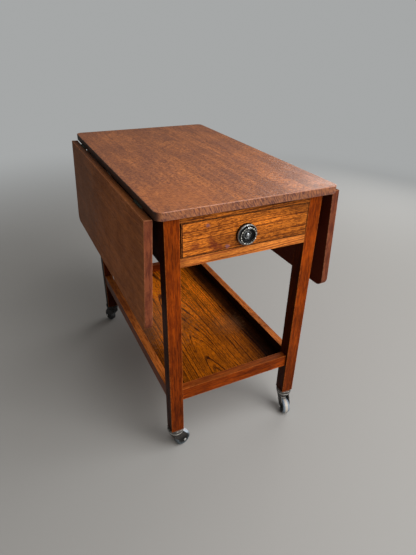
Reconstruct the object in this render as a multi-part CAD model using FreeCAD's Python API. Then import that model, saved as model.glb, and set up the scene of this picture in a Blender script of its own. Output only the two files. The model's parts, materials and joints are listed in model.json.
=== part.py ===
"""Drop leaf tea trolley: an oak table on castors with a drawer, a tray shelf and two
hinged leaves, each held up by a folding metal stay.

X runs across the trolley from the left leaf to the right leaf, the drawer opens towards
-Y, and the origin is on the floor under the middle of the top. Sizes are millimetres.
Both leaves hang at rest.
"""
import FreeCAD
import Part
import math
import os

Vector = FreeCAD.Vector
X_AXIS = Vector(1, 0, 0)
Y_AXIS = Vector(0, 1, 0)
Z_AXIS = Vector(0, 0, 1)

# Top board and leaves
TOP_HEIGHT = 700.0
TOP_WIDTH = 425.0
TOP_LENGTH = 732.0
BOARD = 18.0
TOP_CORNER = 16.0
ARRIS = 1.6
LEAF_WIDTH = 256.0
LEAF_SET_IN = 18.0          # leaf ends inside the ends of the top
LEAF_CORNER = 23.0
LEAF_SPLAY = 3.0            # degrees that the folded stay holds a hanging leaf off plumb

# Legs and aprons
SIDE_OVERHANG = 22.0        # top beyond the outer faces of the legs
END_OVERHANG = 24.0
LEG = 34.0
LEG_ARRIS = 1.2
APRON_DEPTH = 119.0
APRON = 18.0
APRON_SET_IN = 2.0
TENON = 8.0
TENON_LENGTH = 14.0
TENON_SHOULDER = 8.0
MORTISE_END_GAP = 1.0

# Drawer rails, runners and kickers
DRAWER_RAIL = 20.0
DRAWER_RAIL_DEPTH = 30.0
DRAWER_RAIL_SET_IN = 1.0
RAIL_TENON_WIDTH = 20.0
RAIL_TENON_SHOULDER = 5.0
DOVETAIL_DEPTH = 12.0
DOVETAIL_NECK = 16.0
DOVETAIL_END = 22.0
TREAD = 12.0
TREAD_WIDTH = 16.0
GUIDE_HEIGHT = 18.0
GUIDE_PROUD = 0.3
GUIDE_END_GAP = 0.5
STOP_WIDTH = 30.0
STOP_HEIGHT = 6.0
STOP_SPACING = 150.0
STOP_GAP = 0.3

# Drawer
DRAWER_LENGTH = 400.0
DRAWER_FRONT = 18.0
DRAWER_SIDE = 9.5
DRAWER_BACK = 9.0
DRAWER_BOTTOM = 5.0
DRAWER_GAP_LEFT = 2.8
DRAWER_GAP_RIGHT = 0.8
DRAWER_GAP_TOP = 1.5
DRAWER_GAP_BELOW = 0.8
SIDE_GAP_BELOW = 0.3
SIDE_GAP_ABOVE = 3.0
BACK_DROP = 4.0             # top of the back below the tops of the sides
BOTTOM_RAISED = 10.0        # underside of the drawer bottom above the lower edges
GROOVE_DEPTH = 5.0
GROOVE_END_GAP = 0.3
LAP = 5.0                   # wood left in front of the half-blind dovetails
TAILS = 3
TAIL_END = 17.0
TAIL_NECK = 12.0

# Ring pull
PULL_X = -4.0
PULL_DROP = 8.5             # pull centre below the middle of the drawer opening
PLATE_RADIUS = 24.5
PLATE = 5.0                 # sunk field of the plate above the drawer front
RIM_WIDTH = 4.0
RIM_HEIGHT = 9.0
BOSS_RADIUS = 9.5
BOSS_HEIGHT = 7.6
BUTTON_RADIUS = 4.6
BUTTON_HEIGHT = 3.4
RING_RADIUS = 18.3
RING_SAG = 1.5              # ring's centre below the plate's
RING_WIRE = 2.2
RING_SIDES = 8              # flats round the ring's wire
RING_REST = 0.4             # between the hanging ring and the rim behind it
RING_PIN = 1.2
RING_PIN_CLEARANCE = 0.05
LUG_WIDTH = 7.0
LUG_WALL = 1.8
LUG_GAP = 0.5
BOLT_RADIUS = 2.5
NUT_RADIUS = 5.0
NUT = 4.0

# Tray shelf
SHELF_LOW = 177.0
SHELF_RAIL_HEIGHT = 35.0
SHELF_RAIL = 20.0
SHELF_FRONT_SET_IN = 7.0
SHELF_SIDE_SET_IN = 2.0
SHELF_BOARD = 7.5
RABBET = 7.0
RABBET_GAP = 0.3
SHELF_NOTCH_GAP = 3.0       # daylight between the shelf board and each leg

# Leaf hinges
HINGE_JOINT_GAP = 0.8       # between the top's edge and a raised leaf's edge
HINGE_DROP = 0.4            # pin centre below the underside of the boards
HINGE_FROM_END = 88.0       # hinge centres from the ends of a leaf
HINGE_LENGTH = 44.0
BARREL_RADIUS = 3.6
BARREL_CLEARANCE = 0.4
HINGE_PIN = 1.6
HINGE_PIN_CLEARANCE = 0.05
KNUCKLE_GAP = 0.2
FLAP = 1.8
FLAP_WIDTH = 30.0

# Folding stays
STAY_LENGTH = 51.0          # between the pivots of each link
STAY_APRON_STAND = 11.0     # apron pivot off the apron's outer face
STAY_APRON_DROP = 60.0
STAY_LEAF_OUT = 60.0        # leaf pivot from the hinge line, along the leaf
STAY_LEAF_DROP = 8.5
STAY_WIDTH = 8.0
STAY = 2.5
STAY_LAYER_GAP = 0.3
STAY_PIN = 2.0
STAY_PIN_CLEARANCE = 0.05
STAY_FOOT = 2.0
STAY_FOOT_WIDTH = 24.0
STAY_FOOT_LENGTH = 15.0
STAY_RIVET_RADIUS = 3.0
STAY_RIVET_HEIGHT = 1.0

# Castors
CASTOR_HEIGHT = 78.0
WHEEL_RADIUS = 22.5
TYRE_WIDTH = 20.0
TYRE_SHOULDER = 5.0
HUB_RADIUS = 16.0
HUB_WIDTH = 17.0
HUB_BOSS_RADIUS = 6.0
TRAIL = 20.0
CHEEK = 2.2
CHEEK_GAP = 0.8
AXLE = 3.0
AXLE_CLEARANCE = 0.05
AXLE_HEAD_RADIUS = 5.0
AXLE_HEAD = 1.6
AXLE_BOSS_RADIUS = 8.5
CAP_RADIUS = 22.0
CAP = 11.0
CAP_ROUND = 3.0
RACE_RADIUS = 20.5
RACE = 3.5
CROWN_RADIUS = 19.5
CROWN = 6.0
SWIVEL_GAP = 0.3
KING_PIN = 4.0
KING_PIN_CLEARANCE = 0.05
KING_HEAD_RADIUS = 7.0
KING_HEAD = 2.0
STEM_RADIUS = 5.0
STEM_CLEARANCE = 0.05
STEM_LENGTH = 38.0
CASTOR_TURNS = {"front_left": 16.0, "front_right": -104.0, "rear_left": 108.0, "rear_right": 104.0}

# Heights and faces that the pieces share
TOP_UNDER = TOP_HEIGHT - BOARD
APRON_LOW = TOP_UNDER - APRON_DEPTH
LEAF_END = TOP_LENGTH / 2 - LEAF_SET_IN
HINGE_OFFSET = LEAF_END - HINGE_FROM_END
LEG_OUT_X = TOP_WIDTH / 2 - SIDE_OVERHANG
LEG_OUT_Y = TOP_LENGTH / 2 - END_OVERHANG
LEG_IN_X = LEG_OUT_X - LEG
LEG_IN_Y = LEG_OUT_Y - LEG
RACE_HIGH = CASTOR_HEIGHT - CAP
RACE_LOW = RACE_HIGH - RACE

APRON_Z = (APRON_LOW, TOP_UNDER)
SIDE_APRON_X = (LEG_OUT_X - APRON_SET_IN - APRON, LEG_OUT_X - APRON_SET_IN)
SIDE_Y = (-LEG_IN_Y, LEG_IN_Y)
BETWEEN_X = (-LEG_IN_X, LEG_IN_X)
REAR_APRON_Y = (LEG_OUT_Y - APRON_SET_IN - APRON, LEG_OUT_Y - APRON_SET_IN)

RAIL_FACE = -LEG_OUT_Y + DRAWER_RAIL_SET_IN
RAIL_BACK = RAIL_FACE + DRAWER_RAIL_DEPTH
RAIL_Y = (RAIL_FACE, RAIL_BACK)
BOTTOM_RAIL_Z = (APRON_LOW, APRON_LOW + DRAWER_RAIL)
TOP_RAIL_Z = (TOP_UNDER - DRAWER_RAIL, TOP_UNDER)
OPENING_Z = (BOTTOM_RAIL_Z[1], TOP_RAIL_Z[0])
PULL_Z = sum(OPENING_Z) / 2 - PULL_DROP
RING_STAND = RIM_HEIGHT + RING_REST + RING_WIRE
RING_PIVOT = RING_RADIUS - RING_SAG
GUIDE_FACE = LEG_IN_X - GUIDE_PROUD
TREAD_IN = GUIDE_FACE - TREAD_WIDTH

SHELF_Z = (SHELF_LOW, SHELF_LOW + SHELF_RAIL_HEIGHT)
SHELF_SIDE_X = (LEG_OUT_X - SHELF_SIDE_SET_IN - SHELF_RAIL, LEG_OUT_X - SHELF_SIDE_SET_IN)
SHELF_REAR_Y = (LEG_OUT_Y - SHELF_FRONT_SET_IN - SHELF_RAIL, LEG_OUT_Y - SHELF_FRONT_SET_IN)
SHELF_TOP = SHELF_LOW + SHELF_BOARD

DRAWER_X = (-LEG_IN_X + DRAWER_GAP_LEFT, LEG_IN_X - DRAWER_GAP_RIGHT)
DRAWER_REAR = RAIL_FACE + DRAWER_LENGTH
FRONT_INSIDE = RAIL_FACE + DRAWER_FRONT
FRONT_Z = (OPENING_Z[0] + DRAWER_GAP_BELOW, OPENING_Z[1] - DRAWER_GAP_TOP)
DRAWER_SIDE_Z = (OPENING_Z[0] + SIDE_GAP_BELOW, OPENING_Z[1] - SIDE_GAP_ABOVE)
BOTTOM_Z = (DRAWER_SIDE_Z[0] + BOTTOM_RAISED, DRAWER_SIDE_Z[0] + BOTTOM_RAISED + DRAWER_BOTTOM)
BACK_Z = (BOTTOM_Z[1], DRAWER_SIDE_Z[1] - BACK_DROP)

HINGE_X = TOP_WIDTH / 2 + HINGE_JOINT_GAP / 2
HINGE_Z = TOP_UNDER - HINGE_DROP
FOLD = 90.0 - LEAF_SPLAY


# Shapes that every piece is made from

def block(x, y, z):
    """A box between the two values of each pair."""
    return Part.makeBox(x[1] - x[0], y[1] - y[0], z[1] - z[0], Vector(x[0], y[0], z[0]))


def rod(radius, start, direction, length):
    return Part.makeCylinder(radius, length, start, direction)


def turned(profile):
    """A solid of revolution about Z from (radius, height) points."""
    points = [Vector(radius, 0, height) for radius, height in profile]
    face = Part.Face(Part.makePolygon(points + [points[0]]))
    return face.revolve(Vector(0, 0, 0), Z_AXIS, 360)


def fused(first, *others):
    shape = first.fuse(list(others))
    return shape.removeSplitter()


def mirrored(shape):
    """The same piece on the left side."""
    return shape.mirror(Vector(0, 0, 0), X_AXIS)


def middle(pair, width):
    centre = (pair[0] + pair[1]) / 2
    return (centre - width / 2, centre + width / 2)


def spread(pair, amount):
    return (pair[0] - amount, pair[1] + amount)


def edges_along(shape, direction):
    """The straight edges that run along a direction."""
    found = []
    for edge in shape.Edges:
        tangent = edge.tangentAt(edge.FirstParameter)
        if abs(tangent.dot(direction)) > math.cos(math.radians(1)):
            found.append(edge)
    return found


def eased_board(x, y, z, rounded_corners, corner_radius):
    """A board with some plan corners rounded and its upper and lower arrises eased."""
    board = block(x, y, z)
    uprights = []
    for edge in edges_along(board, Z_AXIS):
        corner = edge.CenterOfMass
        if (round(corner.x > sum(x) / 2), round(corner.y > sum(y) / 2)) in rounded_corners:
            uprights.append(edge)
    board = board.makeFillet(corner_radius, uprights)
    rims = [edge for edge in board.Edges if abs(edge.BoundBox.ZLength) < ARRIS / 10]
    return board.makeFillet(ARRIS, rims)


# Joints in the wood

def cross_tenon(x, y, z, end_gap=0.0):
    """The core of a rail that runs across the trolley: it shows as a tenon at each end."""
    return block(spread(x, TENON_LENGTH + end_gap), middle(y, TENON), spread(z, -TENON_SHOULDER))


def long_tenon(x, y, z, end_gap=0.0):
    """The core of a rail that runs front to back: it shows as a tenon at each end."""
    return block(middle(x, TENON), spread(y, TENON_LENGTH + end_gap), spread(z, -TENON_SHOULDER))


def drawer_rail_tenon(end_gap=0.0):
    return block(spread(BETWEEN_X, TENON_LENGTH + end_gap), middle(RAIL_Y, RAIL_TENON_WIDTH),
                 spread(BOTTOM_RAIL_Z, -RAIL_TENON_SHOULDER))


def top_rail_dovetail(end_gap=0.0):
    """The dovetail that drops into the top of the right front leg."""
    centre = sum(RAIL_Y) / 2
    flare = (DOVETAIL_END - DOVETAIL_NECK) / TENON_LENGTH
    reach = TENON_LENGTH + end_gap
    end = LEG_IN_X + reach
    half_end = (DOVETAIL_NECK + flare * reach) / 2
    low = TOP_UNDER - DOVETAIL_DEPTH
    corners = [Vector(LEG_IN_X, centre - DOVETAIL_NECK / 2, low),
               Vector(end, centre - half_end, low),
               Vector(end, centre + half_end, low),
               Vector(LEG_IN_X, centre + DOVETAIL_NECK / 2, low)]
    face = Part.Face(Part.makePolygon(corners + [corners[0]]))
    return face.extrude(Vector(0, 0, DOVETAIL_DEPTH))


def tails(x, z, neck_y, end_y):
    """Dovetails on the end of a drawer side, narrow at neck_y and wide at end_y."""
    pitch = (z[1] - z[0]) / TAILS
    shapes = []
    for index in range(TAILS):
        centre = z[0] + (index + 0.5) * pitch
        corners = [Vector(x[0], neck_y, centre - TAIL_NECK / 2),
                   Vector(x[0], end_y, centre - TAIL_END / 2),
                   Vector(x[0], end_y, centre + TAIL_END / 2),
                   Vector(x[0], neck_y, centre + TAIL_NECK / 2)]
        face = Part.Face(Part.makePolygon(corners + [corners[0]]))
        shapes.append(face.extrude(Vector(x[1] - x[0], 0, 0)))
    return shapes


# Top, leaves and hinges

def hinge_spans():
    """The stretch along Y that each hinge of a leaf takes."""
    return [middle((-HINGE_OFFSET, -HINGE_OFFSET), HINGE_LENGTH),
            middle((HINGE_OFFSET, HINGE_OFFSET), HINGE_LENGTH)]


def hinge_recess(flap_x):
    """The pockets for a flap at each hinge, with the groove that clears the barrel."""
    cuts = []
    for span in hinge_spans():
        clear = spread(span, KNUCKLE_GAP)
        cuts.append(block(flap_x, clear, (TOP_UNDER, TOP_UNDER + FLAP)))
        start = Vector(HINGE_X, clear[0], HINGE_Z)
        cuts.append(rod(BARREL_RADIUS + BARREL_CLEARANCE, start, Y_AXIS, clear[1] - clear[0]))
    return cuts


def top_board():
    half = TOP_WIDTH / 2
    board = eased_board((-half, half), (-TOP_LENGTH / 2, TOP_LENGTH / 2), (TOP_UNDER, TOP_HEIGHT),
                        [(0, 0), (0, 1), (1, 0), (1, 1)], TOP_CORNER)
    recess = hinge_recess((half - FLAP_WIDTH, half))
    return board.cut(recess + [mirrored(cut) for cut in recess])


def lowered(shape):
    """Folds a piece of the raised right leaf down to where it hangs."""
    turned_down = shape.copy()
    turned_down.rotate(Vector(HINGE_X, 0, HINGE_Z), Y_AXIS, FOLD)
    return turned_down


def leaf():
    edge = HINGE_X + HINGE_JOINT_GAP / 2
    board = eased_board((edge, edge + LEAF_WIDTH), (-LEAF_END, LEAF_END),
                        (TOP_UNDER, TOP_HEIGHT), [(1, 0), (1, 1)], LEAF_CORNER)
    return lowered(board.cut(hinge_recess((edge, edge + FLAP_WIDTH))))


def knuckles(span):
    """Three equal knuckles: the outer two belong to the top, the middle one to the leaf."""
    length = (span[1] - span[0]) / 3
    ends = [span[0], span[0] + length, span[1] - length, span[1]]
    return [(ends[0], ends[1] - KNUCKLE_GAP), (ends[1], ends[2]), (ends[2] + KNUCKLE_GAP, ends[3])]


def barrel(span):
    start = Vector(HINGE_X, span[0], HINGE_Z)
    tube = rod(BARREL_RADIUS, start, Y_AXIS, span[1] - span[0])
    return tube.cut(rod(HINGE_PIN + HINGE_PIN_CLEARANCE, start, Y_AXIS, span[1] - span[0]))


def hinge_flap(span, carried, cleared, direction):
    """A flap with its own knuckles, cut back round the knuckles of the other flap."""
    edge = HINGE_X + direction * HINGE_JOINT_GAP / 2
    across = sorted((HINGE_X, edge + direction * FLAP_WIDTH))
    plate = block(across, span, (TOP_UNDER, TOP_UNDER + FLAP))
    reach = BARREL_RADIUS + BARREL_CLEARANCE
    for knuckle in cleared:
        clear = spread(knuckle, KNUCKLE_GAP)
        start = Vector(HINGE_X, clear[0], HINGE_Z)
        plate = plate.cut(rod(reach, start, Y_AXIS, clear[1] - clear[0]))
    for knuckle in carried:
        start = Vector(HINGE_X, knuckle[0], HINGE_Z)
        length = knuckle[1] - knuckle[0]
        plate = plate.cut(rod(HINGE_PIN + HINGE_PIN_CLEARANCE, start, Y_AXIS, length))
    return fused(plate, *[barrel(knuckle) for knuckle in carried])


def hinge_top_flaps():
    flaps = []
    for span in hinge_spans():
        first, centre, last = knuckles(span)
        flaps.append(hinge_flap(span, [first, last], [centre], -1))
    return Part.makeCompound(flaps)


def hinge_leaf_flaps():
    flaps = []
    for span in hinge_spans():
        first, centre, last = knuckles(span)
        flaps.append(lowered(hinge_flap(span, [centre], [first, last], 1)))
    return Part.makeCompound(flaps)


def hinge_pins():
    return Part.makeCompound([rod(HINGE_PIN, Vector(HINGE_X, span[0], HINGE_Z), Y_AXIS, HINGE_LENGTH)
                              for span in hinge_spans()])


# Carcase

def leg(side, end):
    """One leg, with mortises for the rails that meet it and a bore for its castor stem."""
    x = sorted((side * LEG_IN_X, side * LEG_OUT_X))
    y = sorted((end * LEG_IN_Y, end * LEG_OUT_Y))
    post = block(x, y, (CASTOR_HEIGHT, TOP_UNDER))
    post = post.makeFillet(LEG_ARRIS, edges_along(post, Z_AXIS))
    rails = [long_tenon(SIDE_APRON_X, SIDE_Y, APRON_Z, MORTISE_END_GAP),
             long_tenon(SHELF_SIDE_X, SIDE_Y, SHELF_Z, MORTISE_END_GAP)]
    cuts = rails + [mirrored(rail) for rail in rails]
    rear_y = sorted((end * SHELF_REAR_Y[0], end * SHELF_REAR_Y[1]))
    cuts.append(cross_tenon(BETWEEN_X, rear_y, SHELF_Z, MORTISE_END_GAP))
    if end > 0:
        cuts.append(cross_tenon(BETWEEN_X, REAR_APRON_Y, APRON_Z, MORTISE_END_GAP))
    else:
        dovetail = top_rail_dovetail(MORTISE_END_GAP)
        cuts += [drawer_rail_tenon(MORTISE_END_GAP), dovetail, mirrored(dovetail)]
    foot = Vector(sum(x) / 2, sum(y) / 2, CASTOR_HEIGHT)
    cuts.append(rod(STEM_RADIUS + STEM_CLEARANCE, foot, Z_AXIS, STEM_LENGTH + MORTISE_END_GAP))
    return post.cut(cuts)


def side_apron():
    board = block(SIDE_APRON_X, SIDE_Y, APRON_Z)
    return fused(board, long_tenon(SIDE_APRON_X, SIDE_Y, APRON_Z))


def rear_apron():
    board = block(BETWEEN_X, REAR_APRON_Y, APRON_Z)
    return fused(board, cross_tenon(BETWEEN_X, REAR_APRON_Y, APRON_Z))


def drawer_bottom_rail():
    return fused(block(BETWEEN_X, RAIL_Y, BOTTOM_RAIL_Z), drawer_rail_tenon())


def drawer_top_rail():
    dovetail = top_rail_dovetail()
    return fused(block(BETWEEN_X, RAIL_Y, TOP_RAIL_Z), dovetail, mirrored(dovetail))


def drawer_runner():
    """The tread that carries a drawer side, and the guide that keeps it straight."""
    tread_z = (OPENING_Z[0] - TREAD, OPENING_Z[0])
    tread = block((TREAD_IN, GUIDE_FACE), (RAIL_BACK, REAR_APRON_Y[0]), tread_z)
    guide = block((GUIDE_FACE, SIDE_APRON_X[0]), spread(SIDE_Y, -GUIDE_END_GAP),
                  (tread_z[0], OPENING_Z[0] + GUIDE_HEIGHT))
    return fused(tread, guide)


def drawer_kicker():
    return block((TREAD_IN, GUIDE_FACE), (RAIL_BACK, REAR_APRON_Y[0]), TOP_RAIL_Z)


def drawer_stops():
    stop = block(middle((STOP_SPACING / 2, STOP_SPACING / 2), STOP_WIDTH),
                 (FRONT_INSIDE + STOP_GAP, RAIL_BACK), (OPENING_Z[0], OPENING_Z[0] + STOP_HEIGHT))
    return Part.makeCompound([stop, mirrored(stop)])


def shelf_side_rail():
    rail = fused(block(SHELF_SIDE_X, SIDE_Y, SHELF_Z), long_tenon(SHELF_SIDE_X, SIDE_Y, SHELF_Z))
    rabbet_x = (SHELF_SIDE_X[0], SHELF_SIDE_X[0] + RABBET)
    return rail.cut(block(rabbet_x, SIDE_Y, (SHELF_LOW, SHELF_TOP)))


def shelf_rear_rail():
    rail = fused(block(BETWEEN_X, SHELF_REAR_Y, SHELF_Z), cross_tenon(BETWEEN_X, SHELF_REAR_Y, SHELF_Z))
    rabbet_y = (SHELF_REAR_Y[0], SHELF_REAR_Y[0] + RABBET)
    return rail.cut(block(BETWEEN_X, rabbet_y, (SHELF_LOW, SHELF_TOP)))


def shelf_board():
    """The thin tray bottom, set into the rails from below and notched round the legs."""
    x = SHELF_SIDE_X[0] + RABBET - RABBET_GAP
    y = SHELF_REAR_Y[0] + RABBET - RABBET_GAP
    z = (SHELF_LOW, SHELF_TOP)
    notch_x = LEG_IN_X - SHELF_NOTCH_GAP
    notch_y = LEG_IN_Y - SHELF_NOTCH_GAP
    notches = []
    for across in ((-x, -notch_x), (notch_x, x)):
        for along in ((-y, -notch_y), (notch_y, y)):
            notches.append(block(across, along, z))
    return block((-x, x), (-y, y), z).cut(notches)


# Drawer

def drawer_side_x(side):
    if side < 0:
        return (DRAWER_X[0], DRAWER_X[0] + DRAWER_SIDE)
    return (DRAWER_X[1] - DRAWER_SIDE, DRAWER_X[1])


def drawer_inside_x():
    return (DRAWER_X[0] + DRAWER_SIDE, DRAWER_X[1] - DRAWER_SIDE)


def drawer_pins(side):
    """The wood between the tails: in front it is the drawer front's, behind the back's."""
    x = drawer_side_x(side)
    front_y = (RAIL_FACE + LAP, FRONT_INSIDE)
    rear_y = (DRAWER_REAR - DRAWER_BACK, DRAWER_REAR)
    front = block(x, front_y, DRAWER_SIDE_Z).cut(tails(x, DRAWER_SIDE_Z, front_y[1], front_y[0]))
    rear = block(x, rear_y, BACK_Z).cut(tails(x, BACK_Z, rear_y[0], rear_y[1]))
    return front, rear


def bottom_groove():
    """The slot round the drawer that holds its bottom."""
    return block(spread(drawer_inside_x(), GROOVE_DEPTH), (FRONT_INSIDE - GROOVE_DEPTH, DRAWER_REAR),
                 BOTTOM_Z)


def drawer_side(side):
    plank = block(drawer_side_x(side), (RAIL_FACE + LAP, DRAWER_REAR), DRAWER_SIDE_Z)
    return plank.cut(list(drawer_pins(side)) + [bottom_groove()])


def drawer_front():
    front = block(DRAWER_X, (RAIL_FACE, FRONT_INSIDE), FRONT_Z)
    sockets = []
    for side in (-1, 1):
        sockets += tails(drawer_side_x(side), DRAWER_SIDE_Z, FRONT_INSIDE, RAIL_FACE + LAP)
    hole = rod(BOLT_RADIUS, Vector(PULL_X, RAIL_FACE, PULL_Z), Y_AXIS, DRAWER_FRONT)
    return front.cut(sockets + [bottom_groove(), hole])


def drawer_back():
    back = block(drawer_inside_x(), (DRAWER_REAR - DRAWER_BACK, DRAWER_REAR), BACK_Z)
    return fused(back, drawer_pins(-1)[1], drawer_pins(1)[1])


def drawer_bottom():
    return block(spread(drawer_inside_x(), GROOVE_DEPTH - GROOVE_END_GAP),
                 (FRONT_INSIDE - GROOVE_DEPTH + GROOVE_END_GAP, DRAWER_REAR), BOTTOM_Z)


# Ring pull, made with its face towards +Z and then set on the drawer front

def on_drawer_front(shape):
    placed = shape.copy()
    placed.rotate(Vector(0, 0, 0), X_AXIS, 90)
    placed.translate(Vector(PULL_X, RAIL_FACE, PULL_Z))
    return placed


def pull_backplate():
    """A deep round plate with a rim, a centre boss and the lug that the ring hangs from."""
    inner_rim = PLATE_RADIUS - RIM_WIDTH
    plate = turned([(BOLT_RADIUS, 0), (PLATE_RADIUS, 0), (PLATE_RADIUS, PLATE),
                    (PLATE_RADIUS - RIM_WIDTH / 4, RIM_HEIGHT), (inner_rim + RIM_WIDTH / 4, RIM_HEIGHT),
                    (inner_rim, PLATE), (BOSS_RADIUS, PLATE),
                    (BOSS_RADIUS - (BOSS_HEIGHT - PLATE) / 2, BOSS_HEIGHT), (BOLT_RADIUS, BOSS_HEIGHT)])
    wall = RING_PIN + LUG_WALL
    lug = block((-LUG_WIDTH / 2, LUG_WIDTH / 2), (RING_PIVOT - wall, RING_PIVOT + wall),
                (0, RING_STAND))
    crown = rod(wall, Vector(-LUG_WIDTH / 2, RING_PIVOT, RING_STAND), X_AXIS, LUG_WIDTH)
    bore = rod(RING_PIN + RING_PIN_CLEARANCE, Vector(-LUG_WIDTH / 2, RING_PIVOT, RING_STAND),
               X_AXIS, LUG_WIDTH)
    return on_drawer_front(fused(plate, lug, crown).cut(bore))


def pull_ring():
    """An open ring whose two ends turn inwards as pins in the lug."""
    section = []
    for index in range(RING_SIDES):
        around = 2 * math.pi * index / RING_SIDES
        section.append((RING_RADIUS + RING_WIRE * math.cos(around),
                        RING_STAND + RING_WIRE * math.sin(around)))
    ring = turned(section)
    ring.translate(Vector(0, -RING_SAG, 0))
    half_gap = LUG_WIDTH / 2 + LUG_GAP
    ring = ring.cut(block((-half_gap, half_gap), (0, 2 * RING_RADIUS), (0, 2 * RING_STAND)))
    pins = []
    for side in (-1, 1):
        start = Vector(side * (half_gap + RING_WIRE / 2), RING_PIVOT, RING_STAND)
        length = half_gap + RING_WIRE / 2 - LUG_GAP
        pins.append(rod(RING_PIN, start, Vector(-side, 0, 0), length))
    return on_drawer_front(fused(ring, *pins))


def pull_bolt():
    """The bolt through the drawer front: a domed button outside, a nut inside."""
    button = turned([(0, BOSS_HEIGHT), (BUTTON_RADIUS, BOSS_HEIGHT),
                     (BUTTON_RADIUS * 0.9, BOSS_HEIGHT + BUTTON_HEIGHT * 0.5),
                     (BUTTON_RADIUS * 0.6, BOSS_HEIGHT + BUTTON_HEIGHT * 0.9),
                     (0, BOSS_HEIGHT + BUTTON_HEIGHT)])
    shank = rod(BOLT_RADIUS, Vector(0, 0, -DRAWER_FRONT - NUT), Z_AXIS,
                DRAWER_FRONT + NUT + BOSS_HEIGHT)
    nut = rod(NUT_RADIUS, Vector(0, 0, -DRAWER_FRONT - NUT), Z_AXIS, NUT)
    return on_drawer_front(fused(button, shank, nut))


# Folding stays: two links that fold flat between the apron and a hanging leaf

def apron_pivot():
    return Vector(SIDE_APRON_X[1] + STAY_APRON_STAND, 0, HINGE_Z - STAY_APRON_DROP)


def leaf_pivot_raised():
    return Vector(HINGE_X + STAY_LEAF_OUT, 0, HINGE_Z - STAY_LEAF_DROP)


def leaf_pivot():
    splay = math.radians(LEAF_SPLAY)
    out = STAY_LEAF_OUT * math.sin(splay) - STAY_LEAF_DROP * math.cos(splay)
    drop = STAY_LEAF_OUT * math.cos(splay) + STAY_LEAF_DROP * math.sin(splay)
    return Vector(HINGE_X + out, 0, HINGE_Z - drop)


def elbow():
    """The upper meeting point of two equal links between the apron and leaf pivots."""
    base = leaf_pivot() - apron_pivot()
    rise = math.sqrt(STAY_LENGTH ** 2 - (base.Length / 2) ** 2)
    normal = Vector(-base.z, 0, base.x) / base.Length
    return apron_pivot() + base / 2 + normal * rise


def layer(index):
    """Where each layer of the stay lies along Y: bracket, arm, link, leaf bracket."""
    start = index * (STAY + STAY_LAYER_GAP)
    return (start, start + STAY)


def stay_plate(start, end, span):
    """A flat link with round ends between two pivots."""
    length = (end - start).Length
    depth = span[1] - span[0]
    plate = block((0, length), span, (-STAY_WIDTH / 2, STAY_WIDTH / 2))
    caps = [rod(STAY_WIDTH / 2, Vector(x, span[0], 0), Y_AXIS, depth) for x in (0, length)]
    plate = fused(plate, *caps)
    slope = math.degrees(math.atan2(end.z - start.z, end.x - start.x))
    plate.rotate(Vector(0, 0, 0), Y_AXIS, -slope)
    plate.translate(start)
    return plate


def pivot_hole(pivot, span):
    return rod(STAY_PIN + STAY_PIN_CLEARANCE, Vector(pivot.x, span[0], pivot.z), Y_AXIS,
               span[1] - span[0])


def rivet_head(pivot, y):
    return rod(STAY_RIVET_RADIUS, Vector(pivot.x, y, pivot.z), Y_AXIS, STAY_RIVET_HEIGHT)


def stay_arm():
    span = layer(1)
    plate = stay_plate(apron_pivot(), elbow(), span).cut(pivot_hole(apron_pivot(), span))
    return fused(plate, rivet_head(elbow(), span[0] - STAY_RIVET_HEIGHT))


def stay_link():
    span = layer(2)
    plate = stay_plate(leaf_pivot(), elbow(), span).cut(pivot_hole(leaf_pivot(), span))
    return fused(plate, rivet_head(elbow(), span[1]))


def stay_bracket():
    """Screwed to the apron: a foot, an ear and the pin that the arm turns on."""
    pivot = apron_pivot()
    face = SIDE_APRON_X[1]
    ear_y = layer(0)
    foot = block((face, face + STAY_FOOT), (ear_y[1] - STAY_FOOT_LENGTH, ear_y[1]),
                 middle((pivot.z, pivot.z), STAY_FOOT_WIDTH))
    ear = block((face, pivot.x), ear_y, middle((pivot.z, pivot.z), STAY_WIDTH))
    nose = rod(STAY_WIDTH / 2, Vector(pivot.x, ear_y[0], pivot.z), Y_AXIS, STAY)
    pin = rod(STAY_PIN, Vector(pivot.x, ear_y[0], pivot.z), Y_AXIS, layer(1)[1] - ear_y[0])
    return fused(foot, ear, nose, pin)


def stay_leaf_bracket():
    """Screwed under the leaf: a foot, an ear and the pin that the link turns on."""
    pivot = leaf_pivot_raised()
    ear_y = layer(3)
    foot = block(middle((pivot.x, pivot.x), STAY_FOOT_WIDTH), (ear_y[0], ear_y[0] + STAY_FOOT_LENGTH),
                 (TOP_UNDER - STAY_FOOT, TOP_UNDER))
    ear = block(middle((pivot.x, pivot.x), STAY_WIDTH), ear_y, (pivot.z, TOP_UNDER))
    nose = rod(STAY_WIDTH / 2, Vector(pivot.x, ear_y[0], pivot.z), Y_AXIS, STAY)
    start = layer(2)[0]
    pin = rod(STAY_PIN, Vector(pivot.x, start, pivot.z), Y_AXIS, ear_y[1] - start)
    return lowered(fused(foot, ear, nose, pin))


# Castors, made with the swivel axis on Z and the wheel trailing towards +X

def castor_mount():
    """The cap under the leg with its raceway, the stem in the leg and the king pin."""
    pin_low = RACE_LOW - SWIVEL_GAP - CROWN - SWIVEL_GAP
    return turned([(0, pin_low - KING_HEAD), (KING_HEAD_RADIUS, pin_low - KING_HEAD),
                   (KING_HEAD_RADIUS, pin_low), (KING_PIN, pin_low), (KING_PIN, RACE_LOW),
                   (RACE_RADIUS, RACE_LOW), (RACE_RADIUS, RACE_HIGH),
                   (CAP_RADIUS, RACE_HIGH + CAP_ROUND), (CAP_RADIUS, CASTOR_HEIGHT),
                   (STEM_RADIUS, CASTOR_HEIGHT),
                   (STEM_RADIUS, CASTOR_HEIGHT + STEM_LENGTH), (0, CASTOR_HEIGHT + STEM_LENGTH)])


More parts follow.
